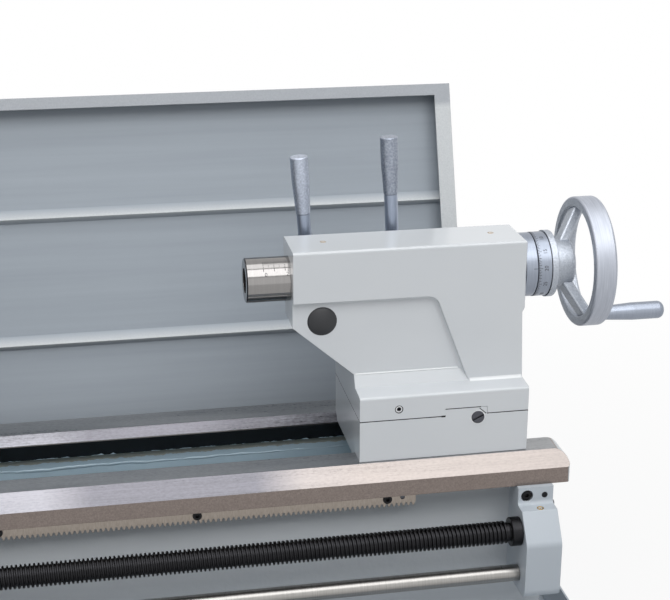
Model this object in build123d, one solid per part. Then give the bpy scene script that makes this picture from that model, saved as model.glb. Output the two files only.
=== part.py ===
from build123d import *
import os
from math import acos, atan2, cos, hypot, pi, radians, sin, sqrt, tan

# Universal metal lathe for the bench. All sizes are millimetres.
# +X runs along the bed from the headstock to the tailstock, +Y to the back, +Z up.
# The origin lies on the bench, straight below the face of the spindle nose.

# Clearances
running_gap = 0.05          # radial, a shaft in its bore
seat_gap = 0.02             # radial, a ring or plug in its seat
sliding_gap = 0.2           # a slide on its guide
free_gap = 0.5              # pieces that pass each other

# Gear teeth
pressure_angle = 20.0       # degrees
tooth_root = 1.25           # depth of a tooth below its pitch line, in modules

# Bed and ways
centre_height = 170.0       # spindle axis above the flats of the ways
way_height = 270.0          # flats of the ways above the bench
nose_to_quill = 695.7       # nose face to quill tip with the tailstock parked
bed_head_reach = 330.0      # bed to the left of the nose face
bed_tail_reach = 303.3      # bed to the right of the quill tip
front_way_reach = 67.0      # face of the front way, ahead of the spindle plane
front_bevel_run = 12.0
front_bevel_drop = 15.0
front_face_height = 16.0
front_flat = 26.0
rear_wall_reach = 60.6      # inner wall of the rear way, behind the spindle plane
rear_bevel = 8.9
rear_flat = 30.5
inner_lip_height = 24.0     # inner lips of the ways, which the tailstock clamps on
lip_overhang = 6.0
web = 10.0
way_end_round = 14.0
way_corner_round = 3.0
web_end_setback = 17.0
rear_way_setback = 5.0
bed_floor = 58.0            # underside of the bed between its feet
bed_flange = 14.0
flange_reach = 12.0
rib_pitch = 190.0
rib = 12.0
rib_drop = 80.0             # top of a rib below the flats
rib_window = 32.0
foot_length = 150.0
foot_inset = 20.0
foot_reach = 40.0
foot_round = 12.0
hold_down_radius = 7.0
hold_down_inset = 16.0

# Chip tray and splash guard
tray_sheet = 2.0
tray_rim = 45.0
tray_front_reach = 235.0
tray_end_reach = 45.0
tray_round = 18.0
guard_lean = 18.4           # degrees from upright
guard_stand_off = 28.0      # lip of the guard behind the rear way, at the ways' level
guard_sheet = 1.5
guard_depth = 20.0
guard_foot = 30.0           # pan below the ways' level, along the lean
guard_height = 319.0        # along the lean, above the ways' level
guard_top_lip = 12.0
guard_side_lip = 17.0
guard_rib_depth = 8.0
guard_rib_height = 14.0
guard_rib_crest = 4.0
guard_rib_levels = (62.0, 192.0)
guard_left = 6.0
guard_right_reach = 252.3   # right end of the guard from the quill tip

# Rack and leadscrew end
rack_module = 1.5
rack_teeth = 178
rack_height = 13.5
rack_width = 16.0
rack_right_reach = 152.3
rack_screw_pitch = 180.5
rack_screw_count = 5
rack_screw_inset = 27.6
rack_screw_drop = 5.5
screw_head_radius = 4.25
screw_head_height = 5.0
screw_head_proud = 1.0
screw_head_sink = 1.0
screw_socket_radius = 2.2
screw_socket_depth = 2.6
screw_shank_radius = 2.5
screw_shank_reach = 7.0
leadscrew_reach = 82.0      # leadscrew axis ahead of the spindle plane
leadscrew_drop = 71.0       # leadscrew axis below the flats
leadscrew_radius = 11.0
leadscrew_journal = 9.0
collar_radius = 14.0
collar_length = 10.0
feed_rod_drop = 116.0
feed_rod_radius = 8.0
feed_rod_journal = 6.5
bracket_left_reach = 250.3  # left side of the end bracket from the quill tip
bracket_width = 35.0
bracket_pad = 27.0          # upper pad of the bracket ahead of the web
bracket_pad_height = 17.5
bracket_shoulder = 14.0
bracket_brow = 27.0         # fall of the bracket's sloped face
bracket_body = 60.0         # lower body of the bracket ahead of the web
bracket_round = 10.0
bracket_slope = 0.5         # fall of the bracket's shoulder
bracket_fillet = 4.0
bracket_tail = 18.0         # bracket below the feed rod axis
bracket_screw_inset = 9.0
bracket_pin_inset = 26.5
bracket_screw_drop = 9.0
bracket_head_radius = 5.0
bracket_seat_radius = 6.0
bracket_pin_radius = 3.0
bracket_pin_length = 10.0
shaft_seat = 14.0           # feed rod in the gearbox wall

# Headstock and spindle
nose_reach = 14.0           # nose face ahead of the headstock's right wall
head_front = 112.0
head_back = 118.0
head_rise = 112.0           # open top of the headstock above the spindle axis
head_wall = 14.0
head_end_wall = 28.0
head_round = 8.0
cover_height = 16.0
cover_lip = 4.0
spindle_bore = 19.0
spindle_tail = 90.0         # spindle to the left of the headstock
tail_journal = 24.0
rear_journal = 28.0
front_journal = 36.0
spindle_body = 32.0
nose_flange = 13.0
nose_radius = 60.0
rear_bearing_ring = 14.0
rear_bearing_width = 22.0
front_bearing_ring = 16.0
front_bearing_width = 26.0

# Chuck
chuck_radius = 80.0
chuck_length = 62.0
chuck_bore = 21.0
chuck_chamfer = 3.0
scroll_inner = 27.0
scroll_outer = 66.0
scroll_back = 14.0
scroll_width = 21.0
jaw_count = 3
jaw_width = 20.0
jaw_foot_width = 28.0
jaw_foot_height = 8.0
jaw_inner = 25.0
jaw_outer = 70.0
jaw_step = 10.0
jaw_step_run = 15.0
jaw_step_count = 3
chuck_key_width = 10.0
chuck_key_depth = 10.0

# Drive at the left end
pulley_near = 24.0          # near side of the pulleys from the headstock
pulley_width = 18.0
belt_width = 11.0
belt_depth = 7.0
spindle_pulley_radius = 60.0
motor_pulley_radius = 36.0
gear_near = 62.0            # near side of the change gears from the headstock
gear_width = 15.0
gear_module = 2.5
spindle_gear_teeth = 32
leadscrew_gear_teeth = 32
gear_backlash = 0.5
idler_spare_teeth = 3       # keeps the idler aside of the straight line between the other gears
idler_stub = 10.0
idler_window = 18.0
idler_window_count = 5
arm_thickness = 10.0
arm_margin = 14.0
motor_reach = 78.0          # motor axis behind the rear way
motor_height = 190.0
motor_radius = 64.0
motor_length = 220.0
motor_fin = 5.0
motor_fin_count = 14
motor_fin_width = 4.0
motor_fin_inset = 24.0
motor_shaft = 11.0
motor_box = 60.0
motor_box_height = 24.0
plate_thickness = 12.0
plate_margin = 54.0
plate_rise = 90.0           # top of the end plate above the spindle axis
plate_round = 12.0
plate_foot_drop = 2.0
plate_foot_length = 90.0
plate_foot = 12.0
cover_front_reach = 155.0   # end cover ahead of the spindle plane
cover_depth = 104.0
cover_sheet = 3.0
cover_foot = 96.0
cover_top_rise = 104.0
cover_round = 30.0
bar_hole = 27.0             # hole for long bars in the end cover
hinge_pin = 4.0
hinge_knuckle = 8.0
hinge_length = 30.0
hinge_stand = 7.0
hinge_leaf = 4.0
hinge_levels = (290.0, 470.0)
hinge_strap = 26.0
cover_back_gap = 8.0        # end cover's back wall behind the end plate

# Headstock and gearbox controls
box_length = 220.0
box_front = 100.0           # gearbox ahead of the front way
box_top_drop = 8.0
box_height = 150.0
box_round = 10.0
box_wall = 14.0
lever_hub = 16.0
lever_hub_length = 20.0
lever_shaft = 8.0
lever_shaft_depth = 10.0
lever_rod = 5.0
lever_length = 70.0
lever_rod_stand = 14.0
lever_round = 3.0
lever_knob = 11.0
speed_lever_left = 110.0    # from the headstock's left face
speed_lever_rise = 62.0     # above the spindle axis
knob_radius = 24.0
knob_length = 22.0
knob_left = 110.0
knob_drop = 45.0
button_left = 235.0
button_rise = 60.0
button_pitch = 34.0
button_radius = 9.0
button_length = 12.0
button_travel = 4.0
button_proud = 6.0
button_bezel = 13.0
button_bezel_height = 6.0
stop_radius = 15.0
stop_gap = 5.0
stop_thickness = 8.0
button_round = 2.0

# Carriage
carriage_x = 300.0          # middle of the carriage at rest
saddle_length = 230.0
saddle_bridge = 116.0
saddle_window_front = -24.0
saddle_window_back = 56.0
saddle_rise = 30.0
saddle_wing_rise = 22.0
saddle_front_reach = 78.0   # front wing ahead of the front way
saddle_back_reach = 12.0
saddle_front_drop = 19.0
keep_drop = 43.0
keep_lip = 8.0
dovetail_foot = 70.0
dovetail_flare = 8.0
dovetail_rise = 14.0
apron_length = 190.0
apron_front = 80.0          # apron ahead of the front way
apron_height = 165.0
apron_round = 12.0
apron_gap = 1.5
apron_wall = 14.0
apron_hollow_top = 92.0     # open back of the apron below the flats
pinion_teeth = 14
pinion_shaft = 5.0
pinion_shaft_length = 8.0
pinion_width = 14.0
pinion_drop = 0.1           # pinion below full mesh
pinion_offset = -40.0       # pinion from the carriage's middle
carriage_wheel_offset = -50.0
carriage_wheel_drop = 105.0
carriage_wheel_radius = 55.0
carriage_wheel_rim = 14.0
carriage_wheel_hub = 16.0
carriage_wheel_stand = 34.0
wheel_shaft = 8.0
wheel_shaft_depth = 12.0
wheel_web = 6.0
wheel_web_step = 3.0
wheel_hub_proud = 4.0
wheel_round = 4.0
grip_radius = 8.5
grip_length = 58.0
grip_neck = 5.0
grip_neck_length = 6.0
grip_round = 3.0
nut_lever_offset = 55.0
nut_lever_drop = 85.0

# Cross slide, top slide and tool post
cross_width = 112.0
cross_front = 115.0
cross_back = 85.0
cross_rise = 36.0
cross_screw = 7.0
cross_channel = 10.0
cross_nut_length = 30.0
cross_nut_y = -20.0
cross_screw_drop = 14.0     # cross screw below the saddle's top
cross_screw_back = 70.0
cross_bracket = 40.0
cross_bracket_height = 29.0
cross_bracket_length = 14.0
cross_dial = 22.0
cross_dial_length = 16.0
cross_wheel_radius = 48.0
cross_wheel_rim = 12.0
cross_wheel_stand = 28.0
cross_wheel_hub = 14.0
swivel_y = -62.0            # swivel axis from the spindle plane
swivel_radius = 46.0
swivel_height = 14.0
swivel_pin = 14.0
swivel_pin_depth = 10.0
compound_turn = 30.0        # degrees, handle end turned from the front to the right
guide_foot = 40.0
guide_flare = 6.0
guide_rise = 10.0
guide_back = 60.0           # compound guide behind the swivel axis
top_travel = 25.0           # top slide each way from its middle
top_width = 74.0
top_length = 150.0
top_rise = 30.0
top_dial_length = 14.0
top_screw = 5.0
top_screw_length = 30.0
crank_hub = 11.0
crank_hub_length = 14.0
crank_rod = 4.0
crank_ball = 7.0
crank_grip = 6.0
crank_grip_length = 34.0
crank_round = 1.5
top_dial = 17.0
crank_arm = 22.0
post_size = 78.0
post_core = 50.0
post_base = 24.0
post_slot = 22.0
post_cap = 18.0
post_stud = 9.0
post_chamfer = 2.0
post_handle_height = 22.0
post_handle_reach = 80.0
post_handle_hub = 16.0
post_handle_rod = 5.0
post_handle_lift = 20.0     # degrees
post_handle_knob = 11.0

# Tailstock, measured from the middle of the quill tip
quill_radius = 21.0
quill_out = 41.3            # quill ahead of the body in the parked pose
quill_length = 199.3
taper_mouth = 11.9
taper_depth = 75.0
taper_ratio = 19.92
screw_radius = 8.0
screw_tip = 113.3
nut_length = 20.0
quill_bore_gap = 1.5         # radial, feed screw in the hollow of the quill
barrel_length = 221.5
barrel_half = 29.0
barrel_rise = 32.5
barrel_drop = 17.0
pocket_depth = 6.5
chin_drop = 42.0
column_right = 260.3
foot_right = 262.9
column_step_drop = 33.0
column_step_slope = 4.5
rib_top_x = 176.3
rib_foot_x = 209.9
pocket_round = 12.0
body_round = 2.5
edge_round = 1.2            # edges of the raised front
pocket_fillet = 4.5
foot_left = 99.3
foot_rise = 1.4             # the foot's top towards the column
pocket_ramp = 11.4          # slope at the foot of the sunk flank
foot_shoulder_drop = 105.0
tail_front_reach = 52.0
tail_back_reach = 72.0
split_drop = 129.0
split_groove = 0.6          # bevel on each side of the split
split_seam = 0.3            # gap round the set-over key
key_left = 181.8
key_right = 222.3
key_height = 7.0
tongue = 7.0
plug_x = 69.0
plug_drop = 36.7
plug_radius = 14.0
plug_dome = 4.0
lock_radius = 9.0
offset_screw_x = 213.5
offset_screw_drop = 132.3
offset_screw_radius = 6.2
offset_screw_length = 9.0
offset_slot = 1.6
offset_slot_depth = 2.0
offset_screw_proud = 1.0
set_screw_x = 136.7
set_screw_drop = 118.4
set_screw_radius = 3.4
set_screw_sink = 1.0
set_screw_length = 8.0
bearing_radius = 30.6
bearing_length = 11.5
dial_radius = 30.8
dial_length = 13.5
wheel_collar = 32.0
wheel_collar_length = 6.5
wheel_hub = 22.5
wheel_hub_length = 20.0
wheel_radius = 62.5
wheel_rim = 10.0
rim_start = 319.5
rim_width = 20.8
rim_round = 2.5
spoke_angle = 67.0          # degrees from the back towards the top
spoke_width = 19.0
spoke_depth = 11.0
spoke_round = 2.2
handle_radius = 8.5
handle_length = 64.0
handle_pin = 4.0
handle_ring = 51.4
handle_gap = 1.0
handle_pin_length = 50.0
handle_neck = 6.5
handle_round = 6.0
quill_chamfer = 1.0
plug_spigot = 10.0
plug_round = 3.0
spoke_root = 12.0
spoke_start = 298.3
lever_behind = 8.0          # gap between the body and a lock lever's hub
lock_hub = 13.0
lock_hub_length = 18.0
lock_shaft_depth = 29.0     # lock shafts in the body
quill_lever_lean = -4.0     # degrees
quill_lever_rise = 141.2
bed_lever_x = 154.3
bed_lever_drop = 72.0
bed_lever_lean = -2.6
bed_lever_rise = 191.8
lever_stem = 6.4
lever_spigot = 4.0
lever_spigot_length = 40.0
lock_grip_length = 56.0
lock_grip_straight = 25.0   # straight upper part of a lock grip
lock_grip_top = 8.5
lock_grip_round = 1.2
lock_grip_seam = 0.6        # open joint between a lock grip and its stem
lock_grip_foot = 6.9
clamp_length = 80.0
clamp_thickness = 16.0
clamp_bolt = 7.0
clamp_bolt_depth = 42.0     # clamp bolt in the body, above the split
clamp_head = 12.0
clamp_head_height = 9.0

# Levels and faces worked out from the sizes above
axis_z = way_height + centre_height
quill_x = nose_to_quill
bed_left = -bed_head_reach
bed_right = quill_x + bed_tail_reach
front_face_y = -front_way_reach
front_ridge_y = front_face_y + front_bevel_run
front_inner_y = front_ridge_y + front_flat
front_web_in = front_inner_y - lip_overhang
front_web_out = front_web_in - web
rear_inner_y = rear_wall_reach
rear_ridge_y = rear_inner_y + rear_bevel
rear_face_y = rear_ridge_y + rear_flat
rear_web_in = rear_inner_y + lip_overhang
rear_web_out = rear_web_in + web
way_under_z = way_height - front_bevel_drop - front_face_height
lip_under_z = way_height - inner_lip_height
leadscrew_y = -leadscrew_reach
leadscrew_z = way_height - leadscrew_drop
feed_rod_z = way_height - feed_rod_drop
bracket_left = quill_x + bracket_left_reach
bracket_right = bracket_left + bracket_width
head_left = bed_left
head_right = -nose_reach
head_top = axis_z + head_rise
motor_y = rear_face_y + motor_reach
box_right = head_left + box_length
rack_pitch = pi * rack_module
rack_right = quill_x + rack_right_reach
rack_left = rack_right - rack_teeth * rack_pitch
rack_tip_z = way_under_z - rack_height
guard_front_y = rear_face_y + guard_stand_off
guard_right = quill_x + guard_right_reach
skirt_front_y = guard_front_y + guard_depth * cos(radians(guard_lean))
skirt_back_y = skirt_front_y + guard_sheet
skirt_top_z = way_height - guard_depth * sin(radians(guard_lean)) - guard_foot * cos(radians(guard_lean))
pan_foot_y = skirt_front_y - guard_foot * sin(radians(guard_lean))
saddle_top = way_height + saddle_rise
cross_top = saddle_top + cross_rise
swivel_top = cross_top + swivel_height
top_slide_top = swivel_top + top_rise
post_top = top_slide_top + post_base + post_slot + post_cap
quill_tip = Pos(quill_x, 0, axis_z)

cover_back_y = motor_y + plate_margin + cover_back_gap
hinge_x = head_left + plate_thickness / 2
hinge_y = cover_back_y + hinge_stand
cross_screw_z = saddle_top - cross_screw_drop
saddle_front_y = front_face_y - saddle_front_reach
apron_front_y = front_face_y - apron_front
carriage = Pos(carriage_x, 0, 0)
swivel = Pos(carriage_x, swivel_y, 0)
compound = swivel * Rot(0, 0, compound_turn)
barrel_right = quill_out + barrel_length
ring_right = barrel_right + bearing_length
wheel_left = ring_right + sliding_gap + dial_length
split_z = -split_drop
clamp_y = (front_inner_y + rear_inner_y) / 2

nodes = {}


def outline(*corners):
    """Face from corners (a, b) or (a, b, radius of the rounding there)."""
    points = [corner[:2] for corner in corners]
    radii = [corner[2] if len(corner) > 2 else 0 for corner in corners]
    return make_face(FilletPolyline(*points, radius=radii, close=True))


def along_x(face, start, end):
    """A (Y, Z) face drawn out along X."""
    return extrude(Plane.YZ.offset(start) * face, amount=end - start, dir=(1, 0, 0))


def along_y(face, start, end):
    """An (X, Z) face drawn out along Y."""
    plane = Plane((0, start, 0), x_dir=(1, 0, 0), z_dir=(0, -1, 0))
    return extrude(plane * face, amount=end - start, dir=(0, 1, 0))


def along_z(face, start, end):
    """An (X, Y) face drawn out along Z."""
    return extrude(Plane.XY.offset(start) * face, amount=end - start, dir=(0, 0, 1))


def block(x0, x1, y0, y1, z0, z1):
    """Box between two corners."""
    middle = Pos((x0 + x1) / 2, (y0 + y1) / 2, (z0 + z1) / 2)
    return middle * Box(x1 - x0, y1 - y0, z1 - z0)


def rod_x(radius, start, end, y, z):
    return Pos((start + end) / 2, y, z) * Rot(0, 90, 0) * Cylinder(radius, end - start)


def rod_y(radius, start, end, x, z):
    return Pos(x, (start + end) / 2, z) * Rot(90, 0, 0) * Cylinder(radius, end - start)


def rod_z(radius, start, end, x, y):
    return Pos(x, y, (start + end) / 2) * Cylinder(radius, end - start)


def turned(*corners):
    """Body of revolution about X from (x, radius) corners, rounded where a third value is given."""
    return revolve(outline(*corners), Axis.X)


def facing_front(part):
    """A part turned about X, swung so that its +X end points to the operator."""
    return Rot(0, 0, -90) * part


def upright(part):
    """A part turned about X, swung so that its +X end points up."""
    return Rot(0, -90, 0) * part


def gear_face(module, teeth, phase):
    """Spur gear outline with a tooth centred at the phase angle, in radians."""
    pitch_radius = module * teeth / 2
    flank = radians(pressure_angle)
    base_radius = pitch_radius * cos(flank)
    involute_at_pitch = tan(flank) - flank

    def half_angle(radius):
        pressure = acos(min(1, base_radius / radius))
        slack = gear_backlash / 2 / pitch_radius
        return pi / 2 / teeth + involute_at_pitch - (tan(pressure) - pressure) - slack

    root = pitch_radius - tooth_root * module
    tip = pitch_radius + module
    points = []
    for tooth in range(teeth):
        middle = phase + 2 * pi * tooth / teeth
        for radius, side in ((root, -1), (tip, -1), (tip, 1), (root, 1)):
            angle = middle + side * half_angle(radius)
            points.append((radius * cos(angle), radius * sin(angle)))
    return make_face(Polyline(*points, close=True))


def cap_screw(head_radius, seat, x, z):
    """Socket cap screw: its head stands on the seat, its shank goes into the bed's front web."""
    front = seat - screw_head_height
    head = rod_y(head_radius, front, seat, x, z)
    hexagon = Pos(x, z) * RegularPolygon(screw_socket_radius, 6)
    socket = along_y(hexagon, front, front + screw_socket_depth)
    shank = rod_y(screw_shank_radius, seat, front_web_out + screw_shank_reach, x, z)
    return head - socket + shank


# Bed, tray and guard
def hold_down_places():
    """The (x, y) of the four hold-down holes in the bed's feet."""
    middles = (
        bed_left + foot_inset + foot_length / 2,
        bed_right - web_end_setback - foot_inset - foot_length / 2,
    )
    sides = (
        front_web_out - foot_reach + hold_down_inset,
        rear_web_out + foot_reach - hold_down_inset,
    )
    return [(x, y) for x in middles for y in sides]


def make_bed():
    flange_top = bed_floor + bed_flange
    front = outline(
        (front_inner_y, way_height),
        (front_ridge_y, way_height),
        (front_face_y, way_height - front_bevel_drop),
        (front_face_y, way_under_z),
        (front_web_out, way_under_z),
        (front_web_out, flange_top),
        (front_web_out - flange_reach, flange_top),
        (front_web_out - flange_reach, bed_floor),
        (front_web_in + flange_reach, bed_floor),
        (front_web_in + flange_reach, flange_top),
        (front_web_in, flange_top),
        (front_web_in, lip_under_z),
        (front_inner_y, lip_under_z),
    )
    rear = outline(
        (rear_ridge_y, way_height),
        (rear_face_y, way_height),
        (rear_face_y, way_under_z),
        (rear_web_out, way_under_z),
        (rear_web_out, flange_top),
        (rear_web_out + flange_reach, flange_top),
        (rear_web_out + flange_reach, bed_floor),
        (rear_web_in - flange_reach, bed_floor),
        (rear_web_in - flange_reach, flange_top),
        (rear_web_in, flange_top),
        (rear_web_in, lip_under_z),
        (rear_inner_y, lip_under_z),
        (rear_inner_y, way_height - rear_bevel),
    )
    bed = along_x(front, bed_left, bed_right) + along_x(rear, bed_left, bed_right - rear_way_setback)

    round_x = bed_right - way_end_round
    round_z = way_height - way_end_round
    corner = block(round_x, bed_right, front_face_y, rear_face_y, round_z, way_height)
    bed -= corner - rod_y(way_end_round, front_face_y, rear_face_y, round_x, round_z)

    corner_x = bed_right - way_corner_round
    corner_y = front_face_y + way_corner_round
    corner = block(corner_x, bed_right, front_face_y, corner_y, way_under_z, way_height)
    bed -= corner - rod_z(way_corner_round, way_under_z, way_height, corner_x, corner_y)

    web_right = bed_right - web_end_setback
    end_front = front_web_out - flange_reach
    end_back = rear_web_out + flange_reach
    bed -= block(web_right, bed_right, end_front, end_back, bed_floor, way_under_z)

    rib_top = way_height - rib_drop
    rib_span = web_right - rib - bed_left
    bays = round(rib_span / rib_pitch)
    window_z = (flange_top + rib_top) / 2
    for index in range(bays + 1):
        x = bed_left + rib_span * index / bays
        wall = block(x, x + rib, front_web_in, rear_web_in, bed_floor, rib_top)
        window_y = (front_web_in + rear_web_in) / 2
        bed += wall - rod_x(rib_window, x, x + rib, window_y, window_z)

    for hole in hold_down_places()[::2]:
        x = hole[0]
        foot = block(
            x - foot_length / 2,
            x + foot_length / 2,
            front_web_out - foot_reach,
            rear_web_out + foot_reach,
            tray_sheet,
            bed_floor,
        )
        bed += fillet(foot.edges().filter_by(Axis.Z), foot_round)
    for x, y in hold_down_places():
        bed -= rod_z(hold_down_radius, tray_sheet, bed_floor, x, y)

    for x, z in rack_screw_places():
        bed -= rod_y(screw_shank_radius + seat_gap, front_web_out, front_web_in, x, z)
    for x, z in bracket_screw_places():
        bed -= rod_y(screw_shank_radius + seat_gap, front_web_out, front_web_in, x, z)
    nodes["bed"] = bed


def make_tray():
    left = bed_left - tray_end_reach
    right = bed_right + tray_end_reach
    back = skirt_back_y + tray_sheet
    shell = block(left, right, -tray_front_reach, back, 0, tray_rim)
    hollow = block(
        left + tray_sheet,
        right - tray_sheet,
        tray_sheet - tray_front_reach,
        skirt_back_y,
        tray_sheet,
        tray_rim,
    )
    shell = fillet(shell.edges().filter_by(Axis.Z), tray_round)
    hollow = fillet(hollow.edges().filter_by(Axis.Z), tray_round - tray_sheet)
    tray = shell - hollow
    for x, y in hold_down_places():
        tray -= rod_z(hold_down_radius, 0, tray_sheet, x, y)
    nodes["chip_tray"] = tray


def make_guard():
    """Folded pan that leans back behind the ways, on an upright skirt in the tray."""
    left, right = guard_left, guard_right
    back = guard_depth + guard_sheet
    pan = block(left, right, guard_depth, back, -guard_foot, guard_height)
    pan += block(left, right, 0, back, guard_height - guard_sheet, guard_height)
    pan += block(left, right, 0, guard_sheet, guard_height - guard_top_lip, guard_height)
    pan += block(left, left + guard_sheet, 0, back, -guard_foot, guard_height)
    pan += block(right - guard_sheet, right, 0, back, -guard_foot, guard_height)
    pan += block(left, left + guard_side_lip, 0, guard_sheet, -guard_foot, guard_height)
    pan += block(right - guard_side_lip, right, 0, guard_sheet, -guard_foot, guard_height)
    crest = guard_depth - guard_rib_depth
    for level in guard_rib_levels:
        rib_face = outline(
            (guard_depth, level),
            (crest, level + guard_rib_crest),
            (guard_depth, level + guard_rib_height),
        )
        ridge = along_x(rib_face, left + guard_sheet, right - guard_sheet)
        pan += ridge
        pan -= Pos(0, 2 * guard_sheet, 0) * ridge
    pan = Pos(0, guard_front_y, way_height) * Rot(-guard_lean, 0, 0) * pan
    skirt = block(left, right, skirt_front_y, skirt_back_y, tray_sheet, skirt_top_z)
    fold = block(left, right, pan_foot_y, skirt_back_y, skirt_top_z - guard_sheet, skirt_top_z)
    nodes["splash_guard"] = pan + skirt + fold


# Rack, end bracket and the shafts in front of the bed
def rack_screw_places():
    first = rack_right - rack_screw_inset
    z = way_under_z - rack_screw_drop
    return [(first - rack_screw_pitch * index, z) for index in range(rack_screw_count)]


def bracket_screw_places():
    return [(bracket_left + bracket_screw_inset, way_under_z - bracket_screw_drop)]


def bracket_pin_place():
    return bracket_left + bracket_pin_inset, way_under_z - bracket_screw_drop


def make_rack():
    flank = tan(radians(pressure_angle))
    pitch_half = rack_pitch / 2 / 2
    tip_half = pitch_half - rack_module * flank
    root_half = pitch_half + tooth_root * rack_module * flank
    root_z = rack_tip_z + (1 + tooth_root) * rack_module
    points = [(rack_left, way_under_z), (rack_left, root_z)]
    for tooth in range(rack_teeth):
        middle = rack_left + rack_pitch / 2 + tooth * rack_pitch
        points.append((middle - root_half, root_z))
        points.append((middle - tip_half, rack_tip_z))
        points.append((middle + tip_half, rack_tip_z))
        points.append((middle + root_half, root_z))
    points += [(rack_right, root_z), (rack_right, way_under_z)]
    face = make_face(Polyline(*points, close=True))
    front = front_web_out - rack_width
    rack = along_y(face, front, front_web_out)
    seat = front + screw_head_height - screw_head_proud
    for x, z in rack_screw_places():
        rack -= rod_y(screw_head_radius + seat_gap, front, seat, x, z)
        rack -= rod_y(screw_shank_radius + seat_gap, seat, front_web_out, x, z)
    nodes["rack"] = rack
    screws = [cap_screw(screw_head_radius, seat, x, z) for x, z in rack_screw_places()]
    pad_y = front_web_out - bracket_pad
    seat = pad_y + screw_head_height + screw_head_sink
    for x, z in bracket_screw_places():
        screws.append(cap_screw(bracket_head_radius, seat, x, z))
    x, z = bracket_pin_place()
    screws.append(rod_y(bracket_pin_radius, pad_y, pad_y + bracket_pin_length, x, z))
    nodes["bed_screws"] = Compound(screws)


def make_bracket():
    pad_y = front_web_out - bracket_pad
    body_y = front_web_out - bracket_body
    pad_foot = way_under_z - bracket_pad_height
    shoulder = pad_foot - bracket_slope
    foot = feed_rod_z - bracket_tail
    face = outline(
        (front_web_out, way_under_z),
        (pad_y, way_under_z),
        (pad_y, pad_foot, bracket_fillet),
        (pad_y - bracket_shoulder, shoulder),
        (body_y, shoulder - bracket_brow, bracket_round),
        (body_y, foot, bracket_round),
        (front_web_out, foot),
    )
    bracket = along_x(face, bracket_left, bracket_right)
    bracket -= rod_x(
        leadscrew_journal + running_gap, bracket_left, bracket_right, leadscrew_y, leadscrew_z
    )
    bracket -= rod_x(
        feed_rod_journal + running_gap, bracket_left, bracket_right, leadscrew_y, feed_rod_z
    )
    seat = pad_y + screw_head_height + screw_head_sink
    for x, z in bracket_screw_places():
        bracket -= rod_y(bracket_seat_radius, pad_y, seat, x, z)
        bracket -= rod_y(screw_shank_radius + seat_gap, seat, front_web_out, x, z)
    x, z = bracket_pin_place()
    bracket -= rod_y(bracket_pin_radius + seat_gap, pad_y, pad_y + bracket_pin_length, x, z)
    nodes["leadscrew_bracket"] = bracket


def make_shafts():
    """Leadscrew and feed rod, from the change gears and the gearbox to the end bracket."""
    gear_left = head_left - gear_near - gear_width
    collar_left = bracket_left - collar_length - free_gap
    screw = turned(
        (gear_left, 0),
        (gear_left, leadscrew_journal),
        (box_right + free_gap, leadscrew_journal),
        (box_right + free_gap, leadscrew_radius),
        (collar_left, leadscrew_radius),
        (collar_left, collar_radius),
        (collar_left + collar_length, collar_radius),
        (collar_left + collar_length, leadscrew_journal),
        (bracket_right, leadscrew_journal),
        (bracket_right, 0),
    )
    nodes["leadscrew"] = Pos(0, leadscrew_y, leadscrew_z) * screw
    rod_left = box_right - shaft_seat
    rod = turned(
        (rod_left, 0),
        (rod_left, feed_rod_journal),
        (box_right + free_gap, feed_rod_journal),
        (box_right + free_gap, feed_rod_radius),
        (bracket_left - free_gap, feed_rod_radius),
        (bracket_left - free_gap, feed_rod_journal),
        (bracket_right, feed_rod_journal),
        (bracket_right, 0),
    )
    nodes["feed_rod"] = Pos(0, leadscrew_y, feed_rod_z) * rod


# Headstock, spindle and chuck
def button_places():
    """The (x, z) of the start and stop buttons on the headstock's front."""
    x = head_left + button_left
    z = axis_z + button_rise
    return (x, z), (x + button_pitch, z)


def speed_lever_place():
    return head_left + speed_lever_left, axis_z + speed_lever_rise


def make_headstock():
    front, back = -head_front, head_back
    shell = along_x(
        outline(
            (front, way_height),
            (front, head_top, head_round),
            (back, head_top, head_round),
            (back, way_height),
        ),
        head_left,
        head_right,
    )
    hollow = block(
        head_left + head_end_wall,
        head_right - head_end_wall,
        front + head_wall,
        back - head_wall,
        way_height + head_wall,
        head_top,
    )
    bezel_front = front - button_bezel_height
    for x, z in button_places():
        shell += rod_y(button_bezel, bezel_front, front, x, z)
    head = shell - hollow
    rear_seat = rear_journal + rear_bearing_ring
    front_seat = front_journal + front_bearing_ring
    middle = (head_left + head_right) / 2
    head -= rod_x(rear_seat + seat_gap, head_left, middle, 0, axis_z)
    head -= rod_x(front_seat + seat_gap, middle, head_right, 0, axis_z)
    bore_depth = button_length + button_travel + free_gap
    for x, z in button_places():
        head -= rod_y(button_radius + running_gap, bezel_front, bezel_front + bore_depth, x, z)
    x, z = speed_lever_place()
    head -= rod_y(lever_shaft + running_gap, front, front + lever_shaft_depth, x, z)
    nodes["headstock"] = head

    lid = along_x(
        outline(
            (front + head_round, head_top),
            (front + head_round, head_top + cover_height, cover_height / 2),
            (back - head_round, head_top + cover_height, cover_height / 2),
            (back - head_round, head_top),
        ),
        head_left + cover_lip,
        head_right - cover_lip,
    )
    nodes["headstock_cover"] = lid

    rear_ring = turned(
        (head_left, rear_journal + running_gap),
        (head_left, rear_seat),
        (head_left + rear_bearing_width, rear_seat),
        (head_left + rear_bearing_width, rear_journal + running_gap),
    )
    front_ring = turned(
        (head_right - front_bearing_width, front_journal + running_gap),
        (head_right - front_bearing_width, front_seat),
        (head_right, front_seat),
        (head_right, front_journal + running_gap),
    )
    rings = [Pos(0, 0, axis_z) * ring for ring in (rear_ring, front_ring)]
    nodes["spindle_bearings"] = Compound(rings)


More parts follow.
